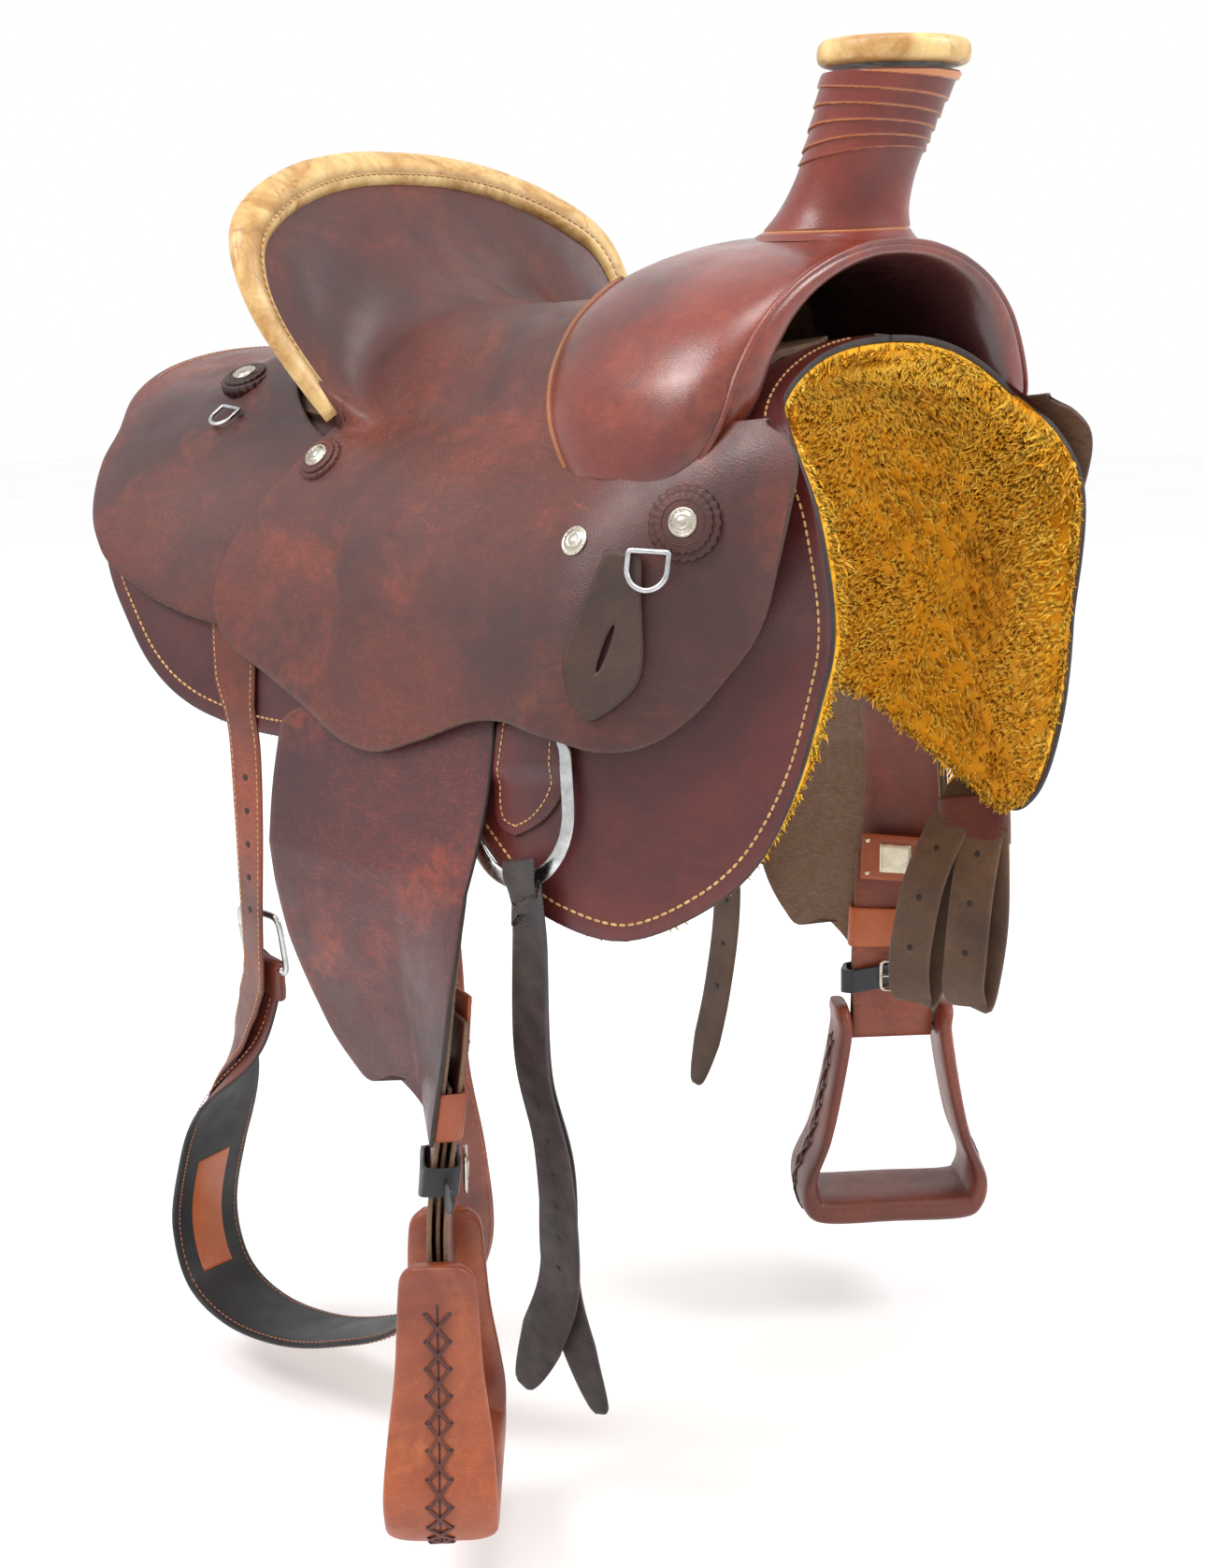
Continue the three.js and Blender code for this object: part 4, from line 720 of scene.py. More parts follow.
# ---- seat -----------------------------------------------------------------------------------
RIM = [
    (0, -262, 170), (35, -260, 170), (69, -252, 169), (98, -238, 166), (116, -222, 159),
    (128, -204, 138), (135, -188, 112), (141, -166, 76), (147, -145, 38),
]
HUMP = [(-260, 34), (-120, 33), (-50, 35), (20, 41), (70, 50), (110, 58)]
SEAT_EDGE = [(x, v) for v, x, _ in RIM] + [
    (-150, 162), (-164, 184), (-190, 208), (-206, 236), (-212, 264), (-207, 288), (-186, 306),
    (-140, 320), (-90, 339), (-52, 355), (-12, 359), (28, 347), (72, 335), (108, 336), (142, 349),
    (164, 359), (186, 357), (208, 337), (228, 300), (252, 248), (274, 204), (279, 178), (266, 164),
    (248, 159),
]
SEAT_SPINE = [
    (-262, 0), (-200, 0), (-130, 0), (-60, 0), (0, 0), (60, 0), (104, 0), (104, 60), (98, 110),
    (112, 160), (140, 194), (180, 188), (212, 164), (248, 155),
]


def seat_top(x, v):
    rim_x, rim_d = look_up(RIM, v, 1), look_up(RIM, v, 2)
    ground = SEAT + 0.75 * bar_lift(x, v) + look_up(HUMP, x) * (1 - ease(v / 150))
    s = np.clip((x - rim_x) / (165 - 95 * ease(v / 147)), 0, 1)
    rise = np.maximum(0, rim_d - ground) * (1 - s) ** 2.3
    return ground + np.where(v > 147, rise * ease((156 - v) / 9), rise)


def seat():
    piece = Piece("seat_cover")
    for side in SIDES.values():
        g = ruled(SEAT_EDGE, SEAT_SPINE, 300, 70)
        x, v = g[..., 0], np.maximum(g[..., 1], 0)
        top = seat_top(x, v)
        ripple = 0.7 * np.sin(x / 37 + v / 52) * ease((v - 170) / 60)
        outer, inner = (lay(side, x, v, top + ripple + lift) for lift in (0, -LEATHER))
        piece.shell(outer, inner, (0, 2, 1))
    piece.make([SEAT_LEATHER, EDGE_BROWN, FLESH], "seat_leather", "leather_brown")


REAR_EDGE = [
    (-428, 4), (-434, 60), (-436, 104), (-426, 140), (-404, 176), (-396, 206), (-377, 242),
    (-356, 266), (-330, 283), (-276, 296), (-214, 297), (-176, 288),
]
REAR_SPINE = [(-428, 1), (-350, 1), (-282, 1), (-272, 60), (-250, 108), (-208, 138), (-160, 154)]


def rear_jockey(name, side):
    g = ruled(REAR_EDGE, REAR_SPINE, 160, 50)
    x, v = g[..., 0], np.maximum(g[..., 1], 1)
    wave = 0.8 * np.sin(x / 33 + v / 40) * ease((v - 120) / 60)
    outer, inner = (lay(side, x, v, d + bar_lift(x, v) + wave) for d in REAR_JOCKEY[::-1])
    piece = Piece(f"rear_jockey_cover_{name}").shell(outer, inner, (0, 2, 1))
    curve = inset_curve(spline(REAR_EDGE, 240), 8)
    curve = curve[(curve[:, 0] < -330) & (curve[:, 1] < 120) & (curve[:, 1] > 8)]
    lay_stitches(piece, side, curve, REAR_JOCKEY[1] + 0.2 + bar_lift(*curve.T), 3)
    piece.make([SEAT_LEATHER, EDGE_BROWN, FLESH, TAN_THREAD], f"rear_jockey_{name}", "leather_brown")


seat()
for name, side in SIDES.items():
    rear_jockey(name, side)


# ---- cantle ---------------------------------------------------------------------------------
def rim_points(across, back, lift):
    """Points along the cantle's top edge, from right, below 0, to left."""
    v = np.minimum(151, np.abs(across))
    right = lay(-1, look_up(RIM, v, 1) + back, v, look_up(RIM, v, 2) + lift)
    left = lay(1, look_up(RIM, v, 1) + back, v, look_up(RIM, v, 2) + lift)
    return np.where((across < 0)[:, None], right, left)


def cantle_binding():
    n, m = 260, 28
    across = np.linspace(-146, 146, n)
    centre = rim_points(across, -4, 1)
    for _ in range(6):
        centre[1:-1] = (centre[:-2] + 2 * centre[1:-1] + centre[2:]) / 4
    along = unit(np.gradient(centre, axis=0))
    inward = np.array([-150, 0, 90]) - centre
    face = unit(inward - along * (inward * along).sum(-1, keepdims=True))
    thick = np.cross(along, face)
    thick *= np.sign(thick[:, :1])
    tip = ease(np.minimum(np.arange(n), n - 1 - np.arange(n)) / (n / 6.5))[:, None]
    t = circle(m, 0.5)
    a, b = (9 + 7 * tip), (5 + 4.5 * tip)
    groove = 1 - 0.1 * np.exp(-(((t - 1.05) / 0.16) ** 2))
    rings = centre[:, None] + (a * boxy(np.cos(t), 2.5) * groove)[..., None] * face[:, None]
    rings = rings + (b * boxy(np.sin(t), 2.5) * groove)[..., None] * thick[:, None]
    piece = Piece("cantle_binding_roll").loft(rings, 0, mark=0.7 * np.exp(-(((t - 1.05) / 0.2) ** 2))[None])
    angle = 0.85
    path = centre + (a * np.cos(angle)) * face * 1.02 + (b * np.sin(angle)) * thick * 1.13
    stitch(piece, path[6:-6], (thick + 0.6 * face)[6:-6], 6.2, 4.2, 0.7, 1)
    piece.make([RAWHIDE, TAN_THREAD], "cantle_binding", "rawhide")


def cantle_back():
    across = np.linspace(-128, 128, 121)[:, None]
    v = np.abs(across)
    u = np.linspace(0, 1, 31)[None]
    rim_x, rim_d = look_up(RIM, v, 1), look_up(RIM, v, 2)
    d = 43 + (np.maximum(49, rim_d - 7) - 43) * u
    puff = 2.2 * np.sin(np.pi * u) * (1 - (v / 128) ** 2)
    skins = []
    for off in (3.9, 0.5):
        x = rim_x - 9 + 0.06 * (rim_d - d) - off - (puff if off > 1 else 0)
        right, left = lay(-1, x, v + 0 * d, d), lay(1, x, v + 0 * d, d)
        skins.append(np.where((across < 0)[..., None], right, left))
    piece = Piece("cantle_back_cover").shell(skins[0], skins[1], (0, 1, 1))
    piece.make([SEAT_LEATHER, EDGE_BROWN], "cantle_back", "leather_brown")


cantle_binding()
cantle_back()

# ---- fork and horn --------------------------------------------------------------------------
# stations of the fork from the middle to the tip: outer y, z, inner y, z, rear x, front x
FORK = np.array([
    (0, 158, 0, 137, 98, 236), (42, 155, 22, 136, 94, 236), (86, 145, 46, 131, 84, 236),
    (126, 128, 72, 120, 72, 235), (160, 103, 92, 104, 66, 233), (184, 70, 108, 80, 66, 230),
    (195, 38, 122, 52, 74, 226), (198, 6, 142, 26, 96, 208), (190, -16, 166, 0, 122, 176),
], float)


def fork_rings(grow, steps=70, n=64):
    rows = np.stack([np.interp(np.linspace(0, 8, steps), np.arange(9), FORK[:, c]) for c in range(6)], 1)
    smooth = spline(FORK, steps - 1)
    rows = 0.15 * rows + 0.85 * smooth
    both = np.concatenate([rows[::-1] * [-1, 1, -1, 1, 1, 1], rows[1:]])
    outer = np.stack([0 * both[:, 0], both[:, 0], both[:, 1]], 1)
    inner = np.stack([0 * both[:, 2], both[:, 2], both[:, 3]], 1)
    centre = (outer + inner) / 2
    centre[:, 0] = (both[:, 4] + both[:, 5]) / 2
    half = np.linalg.norm(outer - inner, axis=1)[:, None] / 2 + grow
    depth = ((both[:, 5] - both[:, 4]) / 2)[:, None] + grow
    w = unit(outer - inner)
    t = circle(n, 0.5)
    c, s = boxy(np.cos(t), 2.6), boxy(np.sin(t), 2.6)
    rings = centre[:, None] + (depth * c)[..., None] * np.array([1.0, 0, 0])
    return rings + (half * s)[..., None] * w[:, None], t


def fork():
    rings, t = fork_rings(0)
    # Painted shade: the fork's underside, in the gullet, is blended towards the swell leather's dark mark
    # colour.
    under = ease(-np.sin(t) * 3)[None] * np.ones((len(rings), 1))
    piece = Piece("fork_covering").loft(rings, 0, mark=0.85 * under)
    centre = rings.mean(1)
    lip = int(0.32 / (2 * np.pi) * len(t))
    path = rings[6:-6, lip]
    piece.loft(rod(path, unit(path - centre[6:-6]), 5.4, 4.8, 12), 0)
    welt = int(2.62 / (2 * np.pi) * len(t))
    for span in (slice(3, 46), slice(-46, -3)):
        path = rings[span, welt]
        piece.loft(rod(path, unit(path - centre[span]), 5.2, 4.6, 12), 1)
    piece.make([SWELL_LEATHER, WELT_LEATHER], "fork_cover", "leather_brown")


NECK = [(0.0, 62), (0.05, 54), (0.1, 49), (0.22, 43), (0.4, 39.5), (0.6, 40), (0.8, 42), (0.965, 45)]
WRAPS = 5


def horn():
    s = np.linspace(0.02, 0.965, 240)[:, None]
    t = circle(96)[None]
    tilt = 0.045 * np.sin(t + 7 * s + 1.2)
    band = np.clip((s + tilt - 0.5) / 0.46, 0, 1) ** 0.8 * WRAPS
    fraction = band - np.floor(band)
    wrapped = (s + tilt > 0.5) & (s < 0.955)
    r = look_up(NECK, s) + np.where(wrapped, 1.7 * (1 - fraction), 0)
    edge = np.where(wrapped, np.exp(-((fraction / 0.09) ** 2)), 0)
    seam = np.exp(-(((s - 0.09 - 0.015 * np.sin(t)) / 0.009) ** 2))
    centre = HORN_BASE + (HORN_TOP - HORN_BASE) * s[..., None]
    rings = centre + (r - 1.1 * seam)[..., None] * round_ring(t)
    piece = Piece("horn_wrapping").loft(rings, 0, mark=np.clip(0.8 * edge + 0.6 * seam, 0, 1))
    piece.make([WRAP_LEATHER], "horn_wrap", "leather_brown")


def horn_cap():
    rim = [(264, 30), (261.8, 42), (264, 48.5), (270, 50), (276, 48.6), (278.6, 44), (277.6, 36)]
    profile = spline(rim, 40)
    t = circle(96)
    ring = round_ring(t)
    wobble = 1 + 0.006 * np.sin(3 * t)[None, :, None]
    rings = profile[:, 1][:, None, None] * ring[None] * wobble
    rings = rings + np.stack([np.full(41, HORN_TOP[0]), np.zeros(41), profile[:, 0]], 1)[:, None]
    # A darker band round the rim's lower edge.
    darkening = 0.5 * np.exp(-(((profile[:, 0] - 262) / 2) ** 2))[:, None]
    piece = Piece("horn_cap_rim").loft(rings, 0, mark=darkening)
    path = HORN_TOP * [1, 1, 0] + ring * 39.5 + np.array([0, 0, 278.4])
    stitch(piece, np.concatenate([path, path[:1]]), np.array([0, 0, 1.0]), 6, 4, 0.6, 1)
    piece.make([RAWHIDE, TAN_THREAD], "horn_rim", "rawhide")
    r = np.array([37, 36, 28, 18, 8])
    z = np.array([277.5, 278.6, 279.2, 279.4, 279.5])
    disc = r[:, None, None] * ring[None]
    disc = disc + np.stack([np.full(5, HORN_TOP[0]), np.zeros(5), z], 1)[:, None]
    Piece("horn_cap_top").loft(disc, 0).make([SWELL_LEATHER], "horn_cap", "leather_brown")


fork()
horn()
horn_cap()

# ---- rosettes, conchos, small dees, keepers -------------------------------------------------
TURN_STEPS = circle(96)


def round_plate(piece, at, radii, heights, kind, scallops=0, depth=0.0):
    """A turned or pinked disc: radius and height pairs from its foot to its middle."""
    wave = 1 + depth * np.abs(np.sin(TURN_STEPS * scallops / 2)) if scallops else np.ones(96)
    c, s = wave * np.cos(TURN_STEPS), wave * np.sin(TURN_STEPS)
    rings = np.stack([place(at, r * c, r * s, h) for r, h in zip(radii, heights)])
    piece.loft(rings, kind)


def concho(piece, at, r, lift, kind):
    radii = np.array([1, 1, 0.97, 0.86, 0.8, 0.76, 0.6, 0.4, 0.36, 0.3, 0.1]) * r
    heights = lift + np.array([-1, 0.6, 1.1, 1.2, 0.8, 1.0, 2.2, 2.6, 2.3, 2.9, 3.1])
    round_plate(piece, at, radii, heights, kind)
    for a in TURN_STEPS[::6]:
        bead = (place(at, 0.88 * r * np.cos(a), 0.88 * r * np.sin(a), lift + 1.2), *at[1:])
        round_small(piece, bead, 0.055 * r, kind)


def round_small(piece, at, r, kind):
    """A small dome: a bead or a stud."""
    t = circle(8)
    rings = []
    for a in np.linspace(0, np.pi / 2, 4)[:-1]:
        rings.append(place(at, r * np.cos(a) * np.cos(t), r * np.cos(a) * np.sin(t), r * np.sin(a)))
    piece.loft(np.stack(rings), kind)


ROSETTES = {"front": (200, 220, 24, 24), "cantle": (-148, 175, 18, 18), "rear": (-304, 116, 21, 20)}


def rosettes(name, side):
    for kind, (x, v, r, petals) in ROSETTES.items():
        d = REAR_JOCKEY[1] + bar_lift(x, v) if kind == "rear" else max(SEAT, float(seat_top(x, v)))
        at = spot(side, x, v, float(d))
        piece = Piece(f"rosette_{kind}_cover_{name}")
        round_plate(piece, at, [r * 0.95, r * 0.95, r * 0.9, r * 0.7], [-5, 2.2, 2.8, 2.9], 0, petals, 0.07)
        round_plate(piece, at, [r * 0.78, r * 0.78, r * 0.72, r * 0.4], [2, 4.6, 5.2, 5.3], 0, petals, 0.06)
        bead = place(at, r * 0.6 * np.cos(TURN_STEPS), r * 0.6 * np.sin(TURN_STEPS), 5.2)
        piece.loft(rod(bead, at[3], 1.1, closed=True), 0, True)
        concho(piece, at, 9.5, 5.3, 1)
        piece.make([ROSETTE_LEATHER, NICKEL], f"rosette_{kind}_{name}", "leather_dark")
    x, v = 140, 232
    piece = Piece(f"concho_plain_cover_{name}")
    concho(piece, spot(side, x, v, float(seat_top(x, v))), 10, 0.6, 0)
    piece.make([NICKEL], f"concho_plain_{name}", "steel")


def dee_path(half, height, bar):
    """Centre line of a dee whose straight bar is at the top: (along, down) points."""
    h = half - bar / 2
    turn = np.linspace(0, np.pi, 40)
    low = height - half
    arc = np.stack([h * np.cos(turn), low + h * np.sin(turn)], 1)
    start = bar / 2
    left = np.stack([np.full(12, -h), np.linspace(low, start, 12)], 1)[1:]
    top = np.stack([np.linspace(-h, h, 24), np.full(24, start)], 1)[1:]
    right = np.stack([np.full(12, h), np.linspace(start, low, 12)], 1)[1:-1]
    path = np.concatenate([arc, left, top, right])
    for _ in range(3):
        path = (np.roll(path, 1, 0) + 2 * path + np.roll(path, -1, 0)) / 4
    return path


def dee(name, node, at, half, height, bar, lift, wide, deep, body=None):
    path = dee_path(half, height, bar)
    points = place(at, path[:, 0], path[:, 1], lift)
    rings = rod(points, at[3], deep, wide, 18, closed=True)
    Piece(name).loft(rings, 0, True).make([STEEL], node, "steel", body)


def small_dees(name, side):
    at = spot(side, 183, 238, SEAT, 20)
    dee(f"dee_front_ring_{name}", f"dee_front_{name}", at, 15, 28, 3.6, 12.2, 3.8, 3.4)
    at = spot(side, -291, 143, float(REAR_JOCKEY[1] + bar_lift(-291, 143)), 12)
    dee(f"dee_rear_ring_{name}", f"dee_rear_{name}", at, 12, 24, 3.2, 4.5, 3.4, 3.0)


KEEPER_EDGE = [(2, -57), (14, -57), (19, -28), (25, 8), (22, 26), (8, 42), (-6, 50), (-17, 40), (-25, 22),
               (-25, 6), (-18, -22), (-10, -50), (-8, -57), (2, -57)]

KEEPER_LEAN = np.radians(9)


def leaned(at, pivot):
    """The frame swung in its own plane about the pivot, its lower end towards the rear."""
    point, along, down, out = at
    c, s = np.cos(KEEPER_LEAN), np.sin(KEEPER_LEAN)
    new_along, new_down = c * along + s * down, c * down - s * along
    arm = point - pivot
    point = pivot + (arm @ along) * new_along + (arm @ down) * new_down + (arm @ out) * out
    return point, new_along, new_down, out


def keeper(name, side):
    at = leaned(spot(side, 172, 300, SEAT, 40), spot(side, 200, 220, SEAT)[0])
    edge = spline(KEEPER_EDGE, 160)[:-1]
    slot_turn = circle(160)
    slot = np.stack([2.2 * np.cos(slot_turn) - 3.5 * np.sin(slot_turn), 4 + 15.5 * np.sin(slot_turn)], 1)
    start = np.argmin(np.abs(np.arctan2(edge[:, 1] - 4, edge[:, 0])))
    edge = np.roll(edge, -start, 0)
    if np.cross(edge[0] - [0, 4], edge[10] - [0, 4]) < 0:
        edge = edge[::-1]
    s = np.linspace(0, 1, 12)[:, None, None]
    flat = slot[None] + (edge - slot)[None] * s
    cup = 1.6 * (flat[..., 0] / 25) ** 2
    top = place(at, flat[..., 0], flat[..., 1], 7.5 + cup)
    low = place(at, flat[..., 0], flat[..., 1], 4.5 + cup)
    loop = np.concatenate([top, low[::-1]])
    piece = Piece(f"latigo_keeper_leaf_{name}")
    piece.add(loop, quads(len(loop), 160, True, True), 0)
    piece.make([KEEPER_LEATHER], f"latigo_keeper_{name}", "leather_dark")


for name, side in SIDES.items():
    rosettes(name, side)
    small_dees(name, side)
    keeper(name, side)

# ---- rigging --------------------------------------------------------------------------------
DEE = {"x": 117, "v": 396, "half": 52, "height": 100, "bar": 12, "thick": 3.2}
RIGGING_EDGE = [(90, 214), (88, 300), (94, 340), (92, 380), (99, 402), (115, 410)]
RIGGING_FRONT = [(158, 214), (152, 300), (145, 340), (145, 380), (134, 402), (115, 410)]
DEE_TILT = np.radians(1.3)


def over_bar(v):
    """How far the plate's leather rises over the dee's bar."""
    bar_v = DEE["v"] - DEE["height"] / 2 + DEE["bar"] / 2
    return 5 * ease(1.9 - np.abs(v - bar_v) / 14)


def rigging(name, side):
    point, along, down, out = spot(side, DEE["x"], DEE["v"], 17.5, 6)
    point = point - down * DEE["height"] / 2
    axis = unit(np.cross(down, out))
    down, out = (a * np.cos(DEE_TILT) + np.cross(axis, a) * np.sin(DEE_TILT) for a in (down, out))
    at = (point, along, down, out)
    dee(f"rigging_dee_ring_{name}", f"rigging_dee_{name}", at, DEE["half"], DEE["height"], DEE["bar"],
        1 + DEE["thick"] / 2, 11, 4.6)
    g = ruled(RIGGING_EDGE, RIGGING_FRONT, 60, 14)
    outer = lay(side, g[..., 0], g[..., 1], 20.8 + over_bar(g[..., 1]))
    inner = lay(side, g[..., 0], g[..., 1], 17.4)
    piece = Piece(f"rigging_plate_cover_{name}").shell(outer, inner, (0, 0, 1))
    outline = np.concatenate([spline(RIGGING_EDGE, 120), spline(RIGGING_FRONT, 120)[::-1][1:]])
    curve = inset_curve(outline, 6)
    curve = curve[curve[:, 1] > 224]
    lay_stitches(piece, side, curve, 21.0 + over_bar(curve[:, 1]), 2)
    piece.make([SKIRT_LEATHER, EDGE_BROWN, TAN_THREAD], f"rigging_plate_{name}", "leather_brown")
    return at


DEE_FRAME = {side: rigging(name, side) for name, side in SIDES.items()}


def mirrored(side, points):
    return np.array(points, float) * [1, side, 1]


def hang_from(side, shift):
    point, along, down, out = DEE_FRAME[side]
    rows = [point + down * (DEE["height"] - DEE["bar"] + drop) + along * shift
            + out * (1 + DEE["thick"] / 2 + rise) for drop, rise in ((-8, 6.5), (6, 7), (18, 3), (34, 0))]
    return [(p[0], abs(p[1]), p[2]) for p in rows]


def taper(n, width, tip=30, point=0.25):
    """Widths along a strap whose last stretch runs to a blunt point."""
    k = np.arange(n + 1)
    return width * (point + (1 - point) * np.sqrt(np.clip((n - k) / tip, 0, 1)))


def holes(piece, path, across, positions, kind, r=2.6, lift=2.0):
    """Punched holes as short eyelets set into a strap, drawn as closed dark discs: the rim is the cut edge's
    own dark colour, and the dark middle is painted shade in place of the opening.
    """
    tangent = unit(np.gradient(path, axis=0))
    for k in positions:
        a = unit(across[k] - tangent[k] * (across[k] @ tangent[k]))
        at = (path[k], a, tangent[k], np.cross(tangent[k], a))
        t = circle(20)
        for out in (-lift, lift):
            ring = np.stack([place(at, q * np.cos(t), q * np.sin(t), out * h)
                             for q, h in ((r, 0.9), (r * 0.85, 1.05), (r * 0.3, 1.0))])
            piece.loft(ring, kind)


def off_billet():
    top = hang_from(-1, 4)
    outer = top + [(103, 231, -390), (99, 208, -470), (76, 180, -575), (44, 168, -640), (16, 160, -690)]
    inner = top + [(99, 225, -390), (95, 201, -470), (70, 173, -575), (76, 161, -640), (90, 153, -690)]
    piece = Piece("off_billet_straps")
    n = 150
    for rows, thick in ((outer, 3.6), (inner, 3.4)):
        path = spline(mirrored(-1, rows), n)
        across = np.stack([np.ones(n + 1), -0.3 + 0.32 * np.linspace(0, 1, n + 1), np.zeros(n + 1)], 1)
        piece.loft(sweep(path, across, taper(n, 40, 18, 0.3), thick), 0)
        if rows is outer:
            holes(piece, path, across, range(62, 112, 9), 1)
    piece.make([OFF_BILLET, EDGE_DARK], "off_billet_R", "leather_black")


def latigo():
    top = hang_from(1, 12)
    low = top[-1]
    near = [(low[0] - 8, low[1] - 1, low[2] + 8), (120, 220, -340), (113, 206, -400), (112, 204, -440),
            (113, 212, -458), (117, 220, -440), (128, 230, -380), (136, 243, -308)]
    far = [(low[0] + 6, low[1] - 1, low[2] + 8), (160, 222, -350), (162, 210, -410), (162, 208, -436),
           (164, 216, -452), (166, 224, -434), (168, 232, -380), (160, 241, -308)]
    x = np.array([1, 0.1, 0])
    piece = Piece("latigo_straps")
    piece.loft(sweep(spline(mirrored(1, top), 40), x, 40, 6), 0)
    for rows in (near, far):
        path = spline(rows, 120)
        piece.loft(sweep(path, x, 38, 3.4), 0)
        holes(piece, path, np.tile(x, (121, 1)), (24, 38, 52), 1)
    wrap = spline([(139, 251, -286), (144, 246, -306), (148, 241, -324)], 20)
    piece.loft(sweep(wrap, x, 62, 17, 28), 2)
    piece.make([LATIGO_LEATHER, EDGE_DARK, ROSETTE_LEATHER], "latigo_L", "leather_dark")


off_billet()
latigo()

# ---- rear billets and the flank cinch -------------------------------------------------------
CINCH = [
    (-186, 224, -376), (-216, 219, -436), (-262, 209, -500), (-315, 193, -580), (-356, 175, -656),
    (-346, 171, -708), (-298, 171, -728), (-230, 171, -724), (-160, 171, -702), (-84, 168, -664),
    (-34, 169, -596), (-18, 180, -510), (-18, 192, -430), (-18, 197, -350), (-16, 203, -280),
    (-14, 208, -215),
]
CINCH_STEPS = 36
N_CINCH = 10 * CINCH_STEPS
cinch_path = spline(mirrored(-1, CINCH), N_CINCH)
cinch_at = np.linspace(0, CINCH_STEPS, N_CINCH + 1)
cinch_turn = ease(np.minimum(cinch_at / 7, (CINCH_STEPS - cinch_at) / 9))
cinch_ahead = 1 - 2 * ease((cinch_at - 17) / 2)
cinch_across = unit(np.stack([cinch_ahead * (1 - cinch_turn), -cinch_turn, 0 * cinch_at], 1))
cinch_width = np.where(
    cinch_at < CINCH_STEPS / 2,
    36 + 32 * ease(cinch_at / 5),
    26 + 42 * ease((CINCH_STEPS - cinch_at) / 11 - 0.5),
)
cinch_normal = unit(np.cross(np.gradient(cinch_path, axis=0), cinch_across))


def cinch():
    piece = Piece("flank_cinch_band")
    rings = sweep(cinch_path, cinch_across, cinch_width, 5.2, 28)
    outside = quads(len(rings), 28, False, True)
    column = outside[:, 0] % 28
    kind = np.where((column > 0) & (column < 13), 0, np.where((column > 14) & (column < 27), 2, 1))
    piece.add(rings, outside, kind.tolist())
    for end in (0, -1):
        piece.add(np.concatenate([rings[end], rings[end].mean(0)[None]]),
                  [[28, j, (j + 1) % 28] for j in range(28)], 1)
    for edge in (-1, 1):
        for face in (-1, 1):
            path = cinch_path + cinch_across * (edge * (cinch_width / 2 - 5))[:, None]
            path = path + cinch_normal * face * 2.5
            stitch(piece, path[10:-10], cinch_normal[10:-10] * face, 5.5, 3.8, 0.5, 3)
    fold = spline(mirrored(-1, [(-184, 229, -374), (-187, 226, -390), (-193, 222, -402)]), 16)
    piece.loft(sweep(fold, np.array([1.0, 0, 0]), 36, 9), 0)
    piece.make([BILLET_LEATHER, EDGE_DARK, LINING, RED_THREAD], "flank_cinch", "leather_black")


def buckle(name, node, centre, along, down, w, h, bar, thick, prong):
    out = unit(np.cross(down, along))
    at = (np.asarray(centre, float), unit(along), unit(down), out)
    t = np.linspace(0, 2 * np.pi, 97)[:-1]
    c, s = np.cos(t), np.sin(t)
    a, b = np.sign(c) * np.abs(c) ** 0.35 * (w - bar / 2), np.sign(s) * np.abs(s) ** 0.35 * (h - bar / 2)
    piece = Piece(name)
    piece.loft(rod(place(at, a, b, 0), out, thick, bar, 14, True), 0, True)
    span = np.linspace(-(w - bar), w - bar, 12)
    piece.loft(rod(place(at, span, h - bar, 0), out, thick * 1.5), 0)
    reach = np.linspace(-(h - bar * 0.2), h - bar, 16)
    tongue = place(at, 0, reach, prong + 1.4 * np.sin(np.linspace(0, np.pi, 16)))
    piece.loft(rod(tongue, out, thick * 0.7, thick * 0.9), 0)
    return piece.make([STEEL], node, "steel")


def rear_billet_right():
    on_skirt = [tuple(lay(1, x, v, 19.25)) for x, v in ((-208, 262), (-203, 292), (-194, 322), (-183, 352))]
    rows = on_skirt + [(-178, 243.6, -204), (-178, 243.6, -262), (-181, 243, -330), (-187, 239, -378),
                       (-196, 234, -398)]
    upper = spline(mirrored(-1, rows), 150)
    first, last = 20, 140
    k = np.arange(first, last + 1)
    lift = 9 - 2.5 * ease((k - first) / 40)
    lower = cinch_path[k] + cinch_normal[k] * lift[:, None]
    path = np.concatenate([upper, lower[4:]])
    for _ in range(4):
        path[140:170] = (path[139:169] + 2 * path[140:170] + path[141:171]) / 4
    start = spot(1, -195, 310, 17.5)[1] * [1, -1, 1]
    mixing = ease((np.arange(151) - 54) / 97)[:, None]
    across = np.concatenate([start * (1 - mixing) + cinch_across[first] * mixing, cinch_across[k][4:]])
    n = len(path) - 1
    width = np.where(np.arange(n + 1) < 40, 42, 32) * taper(n, 1.0, 16, 0.3)
    width = np.convolve(np.pad(width, 6, "edge"), np.ones(13) / 13, "valid")
    piece = Piece("rear_billet_right_strap").loft(sweep(path, across, width, 3.4), 0)
    tangent = unit(np.gradient(path, axis=0))
    a = unit(across - tangent * (across * tangent).sum(-1, keepdims=True))
    normal = np.cross(tangent, a)
    for edge in (-1, 1):
        for face in (-1, 1):
            line = path + a * (edge * (width / 2 - 3.5))[:, None] + normal * face * 1.6
            stitch(piece, line[8:-12], normal[8:-12] * face, 4.6, 3.2, 0.5, 1)
    holes(piece, path, across, range(70, 120, 12), 2)
    sleeve = slice(n - 62, n - 18)
    piece.loft(sweep(path[sleeve] - normal[sleeve] * 2.2, across[sleeve], 42, 15, 28, (5, 3)), 3)
    piece.make([BILLET_LEATHER, TAN_THREAD, EDGE_DARK, ORANGE_LEATHER], "rear_billet_R", "leather_tan")


